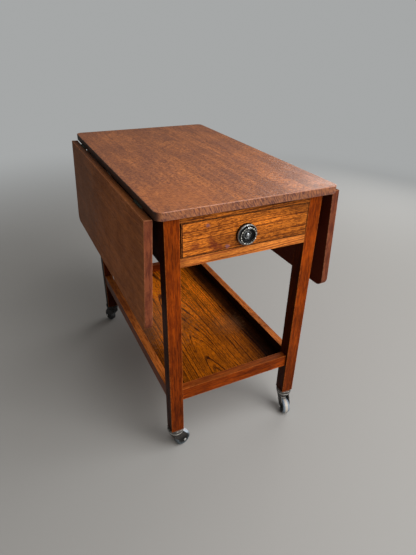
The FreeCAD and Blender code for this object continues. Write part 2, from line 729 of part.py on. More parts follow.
def cheek_outline(y):
    """One cheek of the fork: broad under the crown, drawn in to a boss at the axle."""
    high = RACE_LOW - SWIVEL_GAP - CROWN / 2
    half = math.sqrt(CROWN_RADIUS ** 2 - (TYRE_WIDTH / 2 + CHEEK_GAP + CHEEK) ** 2)
    waist = (high + WHEEL_RADIUS) / 2
    front = [Vector(-half, y, high), Vector(-half, y, waist + AXLE_BOSS_RADIUS)]
    low_front = Vector(TRAIL - AXLE_BOSS_RADIUS * 0.8, y, WHEEL_RADIUS - AXLE_BOSS_RADIUS * 0.6)
    low = Vector(TRAIL, y, WHEEL_RADIUS - AXLE_BOSS_RADIUS)
    low_rear = Vector(TRAIL + AXLE_BOSS_RADIUS, y, WHEEL_RADIUS)
    rear = [Vector(TRAIL + AXLE_BOSS_RADIUS * 0.8, y, waist), Vector(half, y, high)]
    edges = [Part.makePolygon(front + [low_front])]
    edges.append(Part.Arc(low_front, low, low_rear).toShape())
    edges.append(Part.makePolygon([low_rear] + rear + [front[0]]))
    return Part.Face(Part.Wire([edge for wire in edges for edge in wire.Edges]))


def castor_fork():
    """The crown under the raceway, two cheeks and the axle riveted through them."""
    high = RACE_LOW - SWIVEL_GAP
    inside = TYRE_WIDTH / 2 + CHEEK_GAP
    crown = turned([(KING_PIN + KING_PIN_CLEARANCE, high - CROWN), (CROWN_RADIUS - CROWN / 2, high - CROWN),
                    (CROWN_RADIUS, high - CROWN / 2), (CROWN_RADIUS, high),
                    (KING_PIN + KING_PIN_CLEARANCE, high)])
    cheeks = [cheek_outline(inside).extrude(Vector(0, CHEEK, 0)),
              cheek_outline(-inside).extrude(Vector(0, -CHEEK, 0))]
    reach = inside + CHEEK
    axle = rod(AXLE, Vector(TRAIL, -reach, WHEEL_RADIUS), Y_AXIS, 2 * reach)
    heads = [rod(AXLE_HEAD_RADIUS, Vector(TRAIL, reach, WHEEL_RADIUS), Y_AXIS, AXLE_HEAD),
             rod(AXLE_HEAD_RADIUS, Vector(TRAIL, -reach, WHEEL_RADIUS), -Y_AXIS, AXLE_HEAD)]
    return fused(crown, *(cheeks + [axle] + heads))


def on_axle(shape):
    placed = shape.copy()
    placed.rotate(Vector(0, 0, 0), X_AXIS, 90)
    placed.translate(Vector(TRAIL, 0, WHEEL_RADIUS))
    return placed


def castor_wheel():
    """The hub: a disc with a raised boss round the axle bore on each side."""
    bore = AXLE + AXLE_CLEARANCE
    half = HUB_WIDTH / 2
    boss = TYRE_WIDTH / 2
    return on_axle(turned([(bore, -boss), (HUB_BOSS_RADIUS, -boss), (HUB_BOSS_RADIUS, -half),
                           (HUB_RADIUS, -half), (HUB_RADIUS, half), (HUB_BOSS_RADIUS, half),
                           (HUB_BOSS_RADIUS, boss), (bore, boss)]))


def castor_tyre():
    half = TYRE_WIDTH / 2
    tread = half - TYRE_SHOULDER
    return on_axle(turned([(HUB_RADIUS, -HUB_WIDTH / 2), (WHEEL_RADIUS - TYRE_SHOULDER, -half),
                           (WHEEL_RADIUS, -tread), (WHEEL_RADIUS, tread),
                           (WHEEL_RADIUS - TYRE_SHOULDER, half), (HUB_RADIUS, HUB_WIDTH / 2)]))


def castor_pieces():
    makers = {"mount": castor_mount, "fork": castor_fork, "wheel": castor_wheel, "tyre": castor_tyre}
    centre_x = LEG_OUT_X - LEG / 2
    centre_y = LEG_OUT_Y - LEG / 2
    pieces = {}
    for corner, turn in CASTOR_TURNS.items():
        end, side = corner.split("_")
        x = centre_x if side == "right" else -centre_x
        y = centre_y if end == "rear" else -centre_y
        for name, make in makers.items():
            shape = make()
            shape.rotate(Vector(0, 0, 0), Z_AXIS, turn)
            shape.translate(Vector(x, y, 0))
            pieces["castor_" + corner + "_" + name] = shape
    return pieces


def paired_pieces():
    """Pieces made for the right side and mirrored for the left."""
    makers = {"side_apron": side_apron, "drawer_runner": drawer_runner, "drawer_kicker": drawer_kicker,
              "shelf_side_rail": shelf_side_rail, "leaf": leaf, "hinge_top_flaps": hinge_top_flaps,
              "hinge_leaf_flaps": hinge_leaf_flaps, "hinge_pins": hinge_pins, "stay_arm": stay_arm,
              "stay_link": stay_link, "stay_bracket": stay_bracket, "stay_leaf_bracket": stay_leaf_bracket}
    pieces = {}
    for name, make in makers.items():
        shape = make()
        pieces["right_" + name] = shape
        pieces["left_" + name] = mirrored(shape)
    return pieces


def all_pieces():
    front_rail = shelf_rear_rail()
    pieces = {
        "top_board": top_board(), "rear_apron": rear_apron(),
        "drawer_top_rail": drawer_top_rail(), "drawer_bottom_rail": drawer_bottom_rail(),
        "drawer_stops": drawer_stops(), "shelf_board": shelf_board(),
        "shelf_rear_rail": shelf_rear_rail(),
        "shelf_front_rail": front_rail.mirror(Vector(0, 0, 0), Y_AXIS),
        "drawer_front": drawer_front(), "drawer_back": drawer_back(),
        "drawer_bottom": drawer_bottom(), "drawer_left_side": drawer_side(-1),
        "drawer_right_side": drawer_side(1), "pull_backplate": pull_backplate(),
        "pull_ring": pull_ring(), "pull_bolt": pull_bolt(),
    }
    for side_name, side in (("left", -1), ("right", 1)):
        for end_name, end in (("front", -1), ("rear", 1)):
            pieces["leg_" + end_name + "_" + side_name] = leg(side, end)
    pieces.update(paired_pieces())
    pieces.update(castor_pieces())
    return pieces


os.makedirs("parts", exist_ok=True)
for node, piece in all_pieces().items():
    piece.exportStep("parts/" + node + ".step")
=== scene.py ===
import bpy
import bmesh
import json
import math
from mathutils import Matrix, Vector


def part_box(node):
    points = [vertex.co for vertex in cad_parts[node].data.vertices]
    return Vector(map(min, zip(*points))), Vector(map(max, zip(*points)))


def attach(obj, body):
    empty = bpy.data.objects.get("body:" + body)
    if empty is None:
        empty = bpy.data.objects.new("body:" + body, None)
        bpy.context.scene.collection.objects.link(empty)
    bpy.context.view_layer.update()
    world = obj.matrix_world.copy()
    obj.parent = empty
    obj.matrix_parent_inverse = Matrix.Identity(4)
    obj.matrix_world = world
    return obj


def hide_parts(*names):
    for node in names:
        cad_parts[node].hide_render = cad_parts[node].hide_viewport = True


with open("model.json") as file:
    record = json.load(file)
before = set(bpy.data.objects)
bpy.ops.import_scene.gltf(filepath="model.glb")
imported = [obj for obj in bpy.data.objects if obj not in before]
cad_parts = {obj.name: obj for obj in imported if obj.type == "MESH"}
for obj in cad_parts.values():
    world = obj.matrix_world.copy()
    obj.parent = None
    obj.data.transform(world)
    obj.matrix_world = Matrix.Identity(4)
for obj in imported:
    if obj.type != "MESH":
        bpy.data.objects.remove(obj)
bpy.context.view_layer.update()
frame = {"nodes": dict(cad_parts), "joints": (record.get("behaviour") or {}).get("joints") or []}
joints = {joint["name"]: joint for joint in frame["joints"]}
scene = bpy.context.scene


# --- Camera ---------------------------------------------------------------------------
# A standing person's view of the front left corner, looking down on the top, with a
# short lens held nearly level.

VIEW_TURN = math.radians(-26.73)
VIEW_HEIGHT = math.radians(31.51)
VIEW_ROLL = math.radians(1.37)
VIEW_POINT = Vector((-0.4489, -1.0691, 0.9924))
VIEW_FOCAL_PX = 429.8
VIEW_CENTRE_PX = (212.0, 289.4)
PICTURE_WIDTH_PX = 416
PICTURE_HEIGHT_PX = 555
FILM_MM = 36.0

backward = Vector((math.sin(VIEW_TURN) * math.cos(VIEW_HEIGHT),
                   -math.cos(VIEW_TURN) * math.cos(VIEW_HEIGHT), math.sin(VIEW_HEIGHT)))
level_right = (-backward).cross(Vector((0, 0, 1))).normalized()
level_up = backward.cross(level_right)
view_right = level_right * math.cos(VIEW_ROLL) + level_up * math.sin(VIEW_ROLL)
view_up = level_up * math.cos(VIEW_ROLL) - level_right * math.sin(VIEW_ROLL)

lens = bpy.data.cameras.new("view")
lens.sensor_width = FILM_MM
lens.lens = VIEW_FOCAL_PX * FILM_MM / PICTURE_HEIGHT_PX
lens.shift_x = (PICTURE_WIDTH_PX / 2 - VIEW_CENTRE_PX[0]) / PICTURE_HEIGHT_PX
lens.shift_y = (VIEW_CENTRE_PX[1] - PICTURE_HEIGHT_PX / 2) / PICTURE_HEIGHT_PX
lens.clip_end = 40
camera = bpy.data.objects.new("view", lens)
camera.matrix_world = Matrix((view_right, view_up, backward)).transposed().to_4x4()
camera.matrix_world.translation = VIEW_POINT
scene.collection.objects.link(camera)
scene.camera = camera


# --- Floor, room and light ------------------------------------------------------------
# A plain pale floor in an even grey room with a pale wall standing on the right, one soft
# window over the right shoulder, a soft light overhead and a weak one from the wall.

scene.view_settings.view_transform = "Standard"


class Network:
    """Adds and links nodes in one node tree."""

    def __init__(self, tree):
        self.tree = tree

    def add(self, kind, settings=None, **inputs):
        """A new node. Its inputs are given by name, or by number as _0, _1 and so on."""
        node = self.tree.nodes.new(kind)
        for key, value in (settings or {}).items():
            setattr(node, key, value)
        for key, value in inputs.items():
            self.join(value, node, key)
        return node

    def join(self, value, node, key):
        """Links a socket to an input, or sets a plain value on it."""
        socket = node.inputs[int(key[1:]) if key[0] == "_" else key.replace("_", " ")]
        if isinstance(value, bpy.types.NodeSocket):
            self.tree.links.new(value, socket)
        else:
            socket.default_value = value

    def math(self, operation, a, b=0.0, c=0.0):
        return self.add("ShaderNodeMath", {"operation": operation}, _0=a, _1=b, _2=c).outputs[0]

    def vector(self, operation, a, b=(0, 0, 0)):
        node = self.add("ShaderNodeVectorMath", {"operation": operation}, _0=a, _1=b)
        return node.outputs[1 if operation in ("LENGTH", "DOT_PRODUCT") else 0]

    def scaled(self, vector, factor):
        settings = {"operation": "SCALE"}
        return self.add("ShaderNodeVectorMath", settings, _0=vector, Scale=factor).outputs[0]

    def combined(self, x, y, z):
        return self.add("ShaderNodeCombineXYZ", X=x, Y=y, Z=z).outputs[0]

    def parts(self, vector):
        """The X, Y and Z of a vector."""
        return self.add("ShaderNodeSeparateXYZ", Vector=vector).outputs

    def step(self, value, low, high, to_low=0.0, to_high=1.0):
        """A soft step from to_low to to_high as value goes from low to high."""
        return self.add("ShaderNodeMapRange", {"interpolation_type": "SMOOTHSTEP"}, Value=value,
                        From_Min=low, From_Max=high, To_Min=to_low, To_Max=to_high).outputs[0]

    def noise(self, vector, scale=1.0, detail=2.0, rough=0.5, output=0):
        """Output 0 is a value, output 1 three of them as a vector."""
        return self.add("ShaderNodeTexNoise", Vector=vector, Scale=scale, Detail=detail,
                        Roughness=rough).outputs[output]

    def mix(self, factor, a, b, blend="MIX"):
        """Colour b laid over colour a. A plain colour is (red, green, blue)."""
        node = self.add("ShaderNodeMix", {"data_type": "RGBA", "blend_type": blend}, _0=factor)
        for key, colour in (("_6", a), ("_7", b)):
            self.join((*colour, 1) if isinstance(colour, tuple) else colour, node, key)
        return node.outputs[2]


def new_finish(name):
    """A material, the network of its nodes, and its main shader."""
    material = bpy.data.materials.new(name)
    material.use_nodes = True
    tree = material.node_tree
    return material, Network(tree), tree.nodes["Principled BSDF"]


FLOOR_HALF = 12.0
FLOOR_COLOUR = (0.38, 0.37, 0.355)
FLOOR_ROUGHNESS = 0.9
FLOOR_PLAIN_FROM = 1.0
FLOOR_PLAIN_TO = 3.2
BACKDROP = (0.38, 0.39, 0.39)
floor_finish, ground, floor_shader = new_finish("pale floor")
floor_shader.inputs["Base Color"].default_value = (*FLOOR_COLOUR, 1)
floor_shader.inputs["Roughness"].default_value = FLOOR_ROUGHNESS
distance = ground.vector("LENGTH", ground.add("ShaderNodeTexCoord").outputs["Object"])
fading = ground.math("MULTIPLY", ground.step(distance, FLOOR_PLAIN_FROM, FLOOR_PLAIN_TO),
                     ground.add("ShaderNodeLightPath").outputs["Is Camera Ray"])
glow = ground.add("ShaderNodeEmission", Color=(*BACKDROP, 1)).outputs[0]
floor_look = ground.add("ShaderNodeMixShader", Fac=fading, _1=floor_shader.outputs[0], _2=glow)
ground.join(floor_look.outputs[0], ground.tree.nodes["Material Output"], "Surface")

floor_mesh = bpy.data.meshes.new("floor")
floor_mesh.from_pydata([(-FLOOR_HALF, -FLOOR_HALF, 0), (FLOOR_HALF, -FLOOR_HALF, 0),
                        (FLOOR_HALF, FLOOR_HALF, 0), (-FLOOR_HALF, FLOOR_HALF, 0)],
                       [], [(0, 1, 2, 3)])
floor_mesh.materials.append(floor_finish)
floor = bpy.data.objects.new("floor", floor_mesh)
scene.collection.objects.link(floor)

RIGHT_OF_VIEW = (0.92, 0.39, 0.0)
PAST_WALL_CORNER = (0.788, -0.616, 0.0)
DIM_LEFT, DIM_RIGHT = (0.172, 0.164, 0.152), (0.29, 0.29, 0.29)
GLOSS_ROOM, GLOSS_WALL = (0.10, 0.115, 0.12), (0.95, 0.95, 0.94)
world = bpy.data.worlds.new("room")
world.use_nodes = True
scene.world = world
room = Network(world.node_tree)
looking = room.add("ShaderNodeTexCoord").outputs["Generated"]
seen_by = room.add("ShaderNodeLightPath").outputs
rightwards = room.step(room.vector("DOT_PRODUCT", looking, RIGHT_OF_VIEW), low=0.15, high=0.70)
past_corner = room.step(room.vector("DOT_PRODUCT", looking, PAST_WALL_CORNER), low=-0.06,
                        high=0.06)
on_wall = room.math("MULTIPLY", rightwards, past_corner)
room_colour = room.mix(seen_by["Is Glossy Ray"], room.mix(rightwards, DIM_LEFT, DIM_RIGHT),
                       room.mix(on_wall, GLOSS_ROOM, GLOSS_WALL))
room_colour = room.mix(seen_by["Is Camera Ray"], room_colour, BACKDROP)
room.join(room_colour, world.node_tree.nodes["Background"], "Color")


def soft_lamp(name, place, target, size, watts, colour):
    lamp = bpy.data.lights.new(name, "AREA")
    lamp.shape = "RECTANGLE"
    lamp.size, lamp.size_y = size
    lamp.energy = watts
    lamp.color = colour
    holder = bpy.data.objects.new(name, lamp)
    holder.location = place
    facing = Vector(place) - Vector(target)
    holder.rotation_euler = facing.to_track_quat("Z", "Y").to_euler()
    scene.collection.objects.link(holder)


soft_lamp("front window", place=(1.0, -3.0, 2.0), target=(0, 0, 0.45), size=(2.8, 1.8),
          watts=74, colour=(1.0, 0.99, 0.97))
soft_lamp("overhead", place=(0.9, -1.2, 2.3), target=(0, -0.2, 0.3), size=(1.6, 1.6),
          watts=34, colour=(0.98, 0.99, 1.0))
soft_lamp("side wall", place=(2.2, 1.1, 0.9), target=(0, 0.1, 0.25), size=(1.6, 1.2),
          watts=20, colour=(1.0, 1.0, 0.99))


# --- Top ------------------------------------------------------------------------------
# Three oak boards glued edge to edge, with rounded corners. Like all the trolley's wood
# it is stained and varnished, and years of wiping have left it thin and a little pink.

def shader_group(name, inputs, outputs):
    """A node group: inputs are defaults by name, and each output is a value."""
    tree = bpy.data.node_groups.new(name, "ShaderNodeTree")
    for label, default in inputs.items():
        kind = "NodeSocketVector" if isinstance(default, tuple) else "NodeSocketFloat"
        socket = tree.interface.new_socket(label, in_out="INPUT", socket_type=kind)
        socket.default_value = default
    for label in outputs:
        tree.interface.new_socket(label, in_out="OUTPUT", socket_type="NodeSocketFloat")
    return tree, tree.nodes.new("NodeGroupInput").outputs, tree.nodes.new("NodeGroupOutput").inputs


def build_oak_figure():
    """The marks of a board whose grain runs along Y, each from 0 to 1.

    The board is cut from a log of wavy yearly rings, so its faces show straight, arched or
    end grain as the cut decides.
    """
    tree, given, out = shader_group(
        "oak figure",
        {"Position": (0, 0, 0), "Heart": (0, 0, -0.06), "Lean": (0, 0, 0.03), "Ring Width": 0.004,
         "Ring Line": 0.5, "Tick Width": 0.003, "Tick Length": 0.02, "Wander": 0.02,
         "End Stretch": (300, 0, 55), "Seed": 0.0},
        ["Rings", "Tone", "Pores", "Ticks", "Bands", "Flecks", "Blotches", "Patches",
         "End Strokes"])
    net = Network(tree)
    straight = net.vector("ADD", given["Position"],
                          net.combined(given["Seed"], given["Seed"], given["Seed"]))

    def marks(place, stretch, detail=2.0, rough=0.6, output=0):
        """Noise with this many features to a metre across, along and up the board."""
        return net.noise(net.vector("MULTIPLY", place, stretch), 1.0, detail, rough, output)

    def waves(stretch, height):
        """Slow sideways bends of the fibres."""
        bend = marks(straight, stretch, 2.0, 0.5, output=1)
        return net.scaled(net.vector("SUBTRACT", bend, (0.5, 0.5, 0.5)), height)

    bends = net.vector("ADD", waves((7.0, 1.6, 7.0), given["Wander"]),
                       waves((55.0, 9.0, 55.0), 0.004))
    fibres = net.vector("ADD", straight, bends)

    # Rings: the distance from the log's leaning heart, counted in uneven years.
    along = net.parts(given["Position"])[1]
    cut = net.vector("SUBTRACT", given["Position"], given["Heart"])
    cut = net.vector("ADD", net.vector("SUBTRACT", cut, net.scaled(given["Lean"], along)), bends)
    cut = net.vector("MULTIPLY", cut, (1, 0, 1))
    radius = net.vector("LENGTH", cut)
    uneven = net.add("ShaderNodeTexNoise", {"noise_dimensions": "1D"}, W=radius, Scale=70.0,
                     Detail=1.0).outputs[0]
    count = net.math("MULTIPLY_ADD", uneven, 4.0, net.math("DIVIDE", radius, given["Ring Width"]))
    year = net.add("ShaderNodeTexWhiteNoise", {"noise_dimensions": "1D"},
                   W=net.math("FLOOR", count)).outputs[0]
    depth = net.math("DIVIDE", net.math("FRACT", count), given["Ring Line"])
    rings = net.math("MULTIPLY", net.step(depth, 0.0, 0.25), net.step(depth, 0.35, 1.0, 1.0, 0.0))
    rings = net.math("MULTIPLY", rings, net.step(year, 0.0, 1.0, 0.35, 1.0))
    broken = net.step(marks(straight, (160.0, 11.0, 160.0)), 0.30, 0.60, 0.25, 1.0)
    rings = net.math("MULTIPLY", rings, broken)

    # Pores, thickest in the rings, and the short dark ticks and long bands of the fibres.
    pores = net.step(marks(straight, (900.0, 45.0, 900.0), 1.0, 0.5), 0.50, 0.62)
    pores = net.math("MULTIPLY", pores, net.math("MULTIPLY_ADD", rings, 0.8, 0.25))
    tick_size = net.combined(given["Tick Width"], given["Tick Length"], given["Tick Width"])
    ticks = net.noise(net.vector("DIVIDE", fibres, tick_size), 1.0, 2.0, 0.6)
    bands = marks(fibres, (95.0, 5.0, 95.0))
    blotches = marks(fibres, (14.0, 8.0, 14.0), 4.0)
    patches = marks(fibres, (70.0, 38.0, 70.0), 3.0)

    # Flecks: the rays that run out from the heart, where a face cuts along them.
    sides = net.parts(cut)
    ray = net.combined(net.math("MULTIPLY", radius, 55.0), net.math("MULTIPLY", along, 150.0),
                       net.math("MULTIPLY", net.math("ARCTAN2", sides[2], sides[0]), 60.0))
    across = net.parts(fibres)
    slanted = net.combined(net.math("MULTIPLY_ADD", across[2], 0.5, across[0]), 0.0, across[2])
    strokes = net.noise(net.vector("MULTIPLY", slanted, given["End Stretch"]), 1.0, 2.0, 0.55)

    made = {"Rings": rings, "Tone": year, "Pores": pores, "Ticks": net.step(ticks, 0.47, 0.58),
            "Bands": net.step(bands, 0.40, 0.66), "Blotches": net.step(blotches, 0.34, 0.66),
            "Patches": net.step(patches, 0.50, 0.70), "End Strokes": net.step(strokes, 0.42, 0.60),
            "Flecks": net.step(net.noise(ray, 1.0, 1.0, 0.5), 0.58, 0.72)}
    for label, value in made.items():
        tree.links.new(value, out[label])
    return tree


def build_edge_distance():
    """How far a point on a squared piece is from its nearest arris, in metres."""
    tree, given, out = shader_group(
        "edge distance", {"Position": (0, 0, 0), "Low": (0, 0, 0), "High": (1, 1, 1)},
        ["Distance"])
    net = Network(tree)
    from_low = net.vector("SUBTRACT", given["Position"], given["Low"])
    from_high = net.vector("SUBTRACT", given["High"], given["Position"])
    x, y, z = net.parts(net.vector("MINIMUM", from_low, from_high))
    farther = net.math("MINIMUM", net.math("MAXIMUM", x, y), z)
    tree.links.new(net.math("MAXIMUM", net.math("MINIMUM", x, y), farther), out["Distance"])
    return tree


def dress(piece, material):
    """Gives a CAD node its finish."""
    finishes = frame["nodes"][piece].data.materials
    finishes.clear()
    finishes.append(material)


oak_figure = build_oak_figure()
edge_distance = build_edge_distance()
# Near black for dark sides, edges and gaps: dirt in a few places, painted shade in most.
GRIME_AND_SHADE = (0.008, 0.003, 0.002)
NEXT_PLANK = 3.7
SEAM_HALF, SEAM_BLUR, SEAM_STRENGTH = 0.0003, 0.0009, 0.45
SPOT_RAGGEDNESS = 130.0
CHIPS = 210.0
LEAST_WEAR, WEAR_BLUR = 0.0004, 0.0008
GRAIN_TURNS = {"y": (0, 0, 0), "x": (0, 0, math.pi / 2), "z": (math.pi / 2, 0, 0)}


def dress_in_oak(piece, grain, finish, heart=(0, 0, -0.06), lean=(0, 0, 0.03), ring_width=0.004,
                 wander=0.02, seed=0.0, flat=None, seams=(), spots=(), shades=(), grime=(),
                 faces=()):
    """Varnished oak for one piece.

    grain is the axis that the fibres follow, and finish the colours and strengths of the marks.
    heart and lean say where the log's heart runs past the piece's middle, ring_width and wander
    how its years lie, and seed which board it is. flat turns a folded piece back to its box.
    seams are glue lines across X. spots are (point, reach, colour, strength), shades are
    (axis, from, to, tone at from, tone at to), grime lines are (axis, place, reach), dark lines of
    dirt and painted gap shade, and faces are (direction, colour, strength) for all that faces
    that way. Spots, shades and faces carry painted shade, shadow and sheen on some pieces.
    """
    material, net, shader = new_finish(piece.replace("_", " ") + " oak")
    given = net.add("ShaderNodeTexCoord").outputs
    place, facing = given["Object"], given["Normal"]
    low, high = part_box(piece)
    if flat:
        turning = {"rotation_type": "AXIS_ANGLE"}
        place = net.add("ShaderNodeVectorRotate", turning, Vector=place, Center=flat["centre"],
                        Axis=flat["axis"], Angle=flat["angle"]).outputs[0]
        facing = net.add("ShaderNodeVectorRotate", turning, Vector=facing, Axis=flat["axis"],
                         Angle=flat["angle"]).outputs[0]
        low, high = flat["low"], flat["high"]
    centred = net.vector("SUBTRACT", place, tuple((low + high) / 2))
    board, board_facing = [net.add("ShaderNodeVectorRotate", {"rotation_type": "EULER_XYZ"},
                                   Vector=vector, Rotation=GRAIN_TURNS[grain]).outputs[0]
                           for vector in (centred, facing)]
    plank = seed
    across = net.parts(centred)[0]
    for seam in seams:
        plank = net.math("MULTIPLY_ADD", net.math("GREATER_THAN", across, seam), NEXT_PLANK,
                         plank)
    figure = net.add("ShaderNodeGroup", {"node_tree": oak_figure}, Position=board, Heart=heart,
                     Lean=lean, Ring_Width=ring_width, Ring_Line=finish["ring_line"],
                     Tick_Width=finish["tick_width"], Tick_Length=finish["tick_length"],
                     Wander=wander, Seed=plank, End_Stretch=finish["end_stretch"]).outputs
    edge = net.add("ShaderNodeGroup", {"node_tree": edge_distance}, Position=place,
                   Low=tuple(low), High=tuple(high)).outputs[0]

    # The board's own marks, on its long faces and on its end grain.
    colour = finish["pale"]
    for mark, shade in (("Rings", "deep"), ("Bands", "deep"), ("Ticks", "deep"),
                        ("Blotches", "stain"), ("Patches", "stain"), ("Flecks", "pale")):
        strength = net.math("MULTIPLY", figure[mark], finish[mark.lower()])
        colour = net.mix(strength, colour, finish[shade])
    end = net.step(net.math("ABSOLUTE", net.parts(board_facing)[1]), 0.6, 0.85)
    end_colour = net.mix(figure["End Strokes"], finish["end_pale"], finish["end_deep"])
    colour = net.mix(end, colour, end_colour)

    # Lighter and darker stretches, some of them painted shade, then what is laid over them: real
    # stains, spills and wear, and painted shade, shadow, sheen and glint.
    mottle = finish["mottle"]
    tone = net.math("MULTIPLY", net.step(figure["Blotches"], 0, 1, 1 + mottle, 1 - mottle),
                    net.step(figure["Tone"], 0, 1, 0.92, 1.08))
    for axis, start, stop, start_tone, stop_tone in shades:
        shade = net.step(net.parts(place)[axis], start, stop, start_tone, stop_tone)
        tone = net.math("MULTIPLY", tone, shade)
    tone = net.add("ShaderNodeCombineColor", Red=tone, Green=tone, Blue=tone).outputs[0]
    colour = net.mix(1.0, colour, tone, "MULTIPLY")
    pores = net.math("MULTIPLY", figure["Pores"], finish["pores"])
    colour = net.mix(pores, colour, finish["dark"])
    for seam in seams:
        off = net.math("ABSOLUTE", net.math("SUBTRACT", across, seam))
        joint = net.step(off, SEAM_HALF, SEAM_BLUR, SEAM_STRENGTH, 0.0)
        colour = net.mix(joint, colour, finish["dark"])
    for spot, reach, shade, strength in spots:
        ragged = net.scaled(net.noise(place, SPOT_RAGGEDNESS, 3.0, 0.6, output=1),
                            2.0 * reach)
        off = net.vector("LENGTH", net.vector("SUBTRACT", net.vector("ADD", place, ragged),
                                              tuple(value + reach for value in spot)))
        colour = net.mix(net.step(off, 0.3 * reach, 1.2 * reach, strength, 0.0), colour, shade)
    upward = net.parts(facing)[2]
    under = net.step(upward, -0.7, -0.4, finish["under"], 0.0)
    colour = net.mix(under, colour, finish["under_shade"])
    # Upward faces turn paler, towards bare wood: partly wear, partly painted sheen.
    bare = net.mix(1.0, finish["bare"], tone, "MULTIPLY")
    marked = net.step(net.math("ADD", figure["Bands"], figure["Ticks"]), 0.0, 1.6,
                      finish["over"], 0.3 * finish["over"])
    colour = net.mix(net.math("MULTIPLY", net.step(upward, 0.6, 0.85), marked), colour, bare)
    # Grime lines darken gaps as dirt and painted shade; faces darken or grey whole sides, mostly
    # as painted shade.
    for axis, line, reach in grime:
        off = net.math("ABSOLUTE", net.math("SUBTRACT", net.parts(place)[axis], line))
        colour = net.mix(net.step(off, 0.6 * reach, reach, 1.0, 0.0), colour, GRIME_AND_SHADE)
    for direction, shade, strength in faces:
        showing = net.vector("DOT_PRODUCT", facing, direction)
        colour = net.mix(net.step(showing, 0.5, 0.9, 0.0, strength), colour, shade)

    # Arrises worn back to paler wood.
    reach = net.step(net.noise(place, CHIPS, 2.0, 0.6), 0.3, 0.75, LEAST_WEAR,
                     finish["wear_width"])
    past_wear = net.math("SUBTRACT", edge, reach)
    worn = net.step(past_wear, -WEAR_BLUR, WEAR_BLUR, finish["wear"], 0.0)
    net.join(net.mix(worn, colour, finish["bare"]), shader, "Base Color")
    rough = net.math("MULTIPLY_ADD", figure["Pores"], 0.25, finish["rough"])
    rough = net.math("MULTIPLY_ADD", figure["Blotches"], 0.08, rough)
    net.join(net.math("MULTIPLY_ADD", worn, 0.2, rough), shader, "Roughness")
    shader.inputs["Specular IOR Level"].default_value = finish["gloss"]
    height = net.math("MULTIPLY", figure["Ticks"], -0.35)
    height = net.math("MULTIPLY_ADD", figure["Pores"], -0.6, height)
    bump = net.add("ShaderNodeBump", Height=height, Strength=0.35, Distance=0.0006)
    net.join(bump.outputs[0], shader, "Normal")
    dress(piece, material)


TOP_FINISH = dict(pale=(0.54, 0.186, 0.060), deep=(0.15, 0.045, 0.024), dark=(0.045, 0.012, 0.006),
                  stain=(0.20, 0.076, 0.052), bare=(0.50, 0.23, 0.15),
                  end_pale=(0.33, 0.120, 0.046), end_deep=(0.11, 0.032, 0.022),
                  under_shade=(0.13, 0.022, 0.010), rings=0.35, ticks=0.72, bands=0.35,
                  blotches=0.36, patches=0.30, mottle=0.08, flecks=0.40, pores=0.75, wear=0.6,
                  wear_width=0.0018, rough=0.38, gloss=0.5, under=0.95, over=0.0, ring_line=0.5,
                  tick_width=0.0076, tick_length=0.0042, end_stretch=(360, 0, 70))
TOP_GLOW = ((-0.14, -0.29, 0.70), 0.10, (0.56, 0.170, 0.040), 0.3)
# The top is painted lighter at its near end and darker at its far end as painted shade, and its
# long edge faces are darkened as dirt and painted shade.
dress_in_oak("top_board", "y", TOP_FINISH, heart=(0.12, 0, -0.10), lean=(0.02, 0, 0.015),
             ring_width=0.0032, wander=0.016, seed=3.1, seams=(-0.040, 0.088), spots=[TOP_GLOW],
             shades=[(1, -0.36, 0.36, 1.10, 0.92)],
             faces=[((-1, 0, 0), GRIME_AND_SHADE, 0.85), ((1, 0, 0), GRIME_AND_SHADE, 0.85)])


# --- Leaves ---------------------------------------------------------------------------
# Two flaps of the same oak, hung from the top's long edges with their rounded corners
# downwards. The left one has a painted grey sheen at its far end and a painted white glint.

LEAF_FINISH = dict(TOP_FINISH, pale=(0.47, 0.142, 0.031), deep=(0.275, 0.082, 0.020),
                   bare=(0.48, 0.19, 0.09), under_shade=(0.075, 0.011, 0.005),
                   end_pale=(0.19, 0.051, 0.021), end_deep=(0.11, 0.026, 0.013), rings=0.25,
                   bands=0.5, blotches=0.1, patches=0.2, ticks=0.35, flecks=0.1, rough=0.5,
                   gloss=0.10, tick_width=0.0028, tick_length=0.03, end_stretch=(25, 0, 210))
HINGE_X, HINGE_Z = joints["right_leaf_hinge"]["pos_m"][::2]
LEAF_FOLD = math.radians(joints["right_leaf_hinge"]["range_deg"][1])
LEAF_GAP = 0.0004
LEAF_REACH = 0.2564
LEAF_HALF_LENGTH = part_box("right_leaf")[1].y
BOARD_UNDER, BOARD_TOP = [corner.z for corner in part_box("top_board")]
SIDES = (("left", -1), ("right", 1))
# Painted glint: a white spot painted on the left leaf's edge as a glint of light.
LEAF_PAINTED_GLINT = ((-0.4675, -0.0955, 0.6993), 0.0065, (0.90, 0.87, 0.82), 1.0)
# Painted sheen: a grey patch at the left leaf's far end, a reflection seen at a glancing angle.
LEAF_PAINTED_SHEEN = ((-0.34, 0.28, 0.70), 0.30, (0.23, 0.135, 0.100), 0.5)
LEAF_SPOTS = {"left": [LEAF_PAINTED_GLINT, LEAF_PAINTED_SHEEN], "right": []}
LEAF_SEEDS = {"left": 7.7, "right": 12.3}
for side, sign in SIDES:
    edges = sorted(sign * (HINGE_X + reach) for reach in (LEAF_GAP, LEAF_REACH))
    flat = {"centre": (sign * HINGE_X, 0, HINGE_Z), "axis": (0, 1, 0),
            "angle": -sign * LEAF_FOLD, "low": Vector((edges[0], -LEAF_HALF_LENGTH, BOARD_UNDER)),
            "high": Vector((edges[1], LEAF_HALF_LENGTH, BOARD_TOP))}
    # The hinge edge, which faces up as the leaf hangs, is darkened, and the near end is lighter.
    dress_in_oak(side + "_leaf", "y", LEAF_FINISH, heart=(0.10, 0, 0.05), lean=(0.02, 0, 0.01),
                 ring_width=0.0035, wander=0.02, seed=LEAF_SEEDS[side], flat=flat,
                 spots=LEAF_SPOTS[side], shades=[(1, -0.35, 0.10, 1.12, 1.0)],
                 faces=[((-sign, 0, 0), GRIME_AND_SHADE, 0.6)])
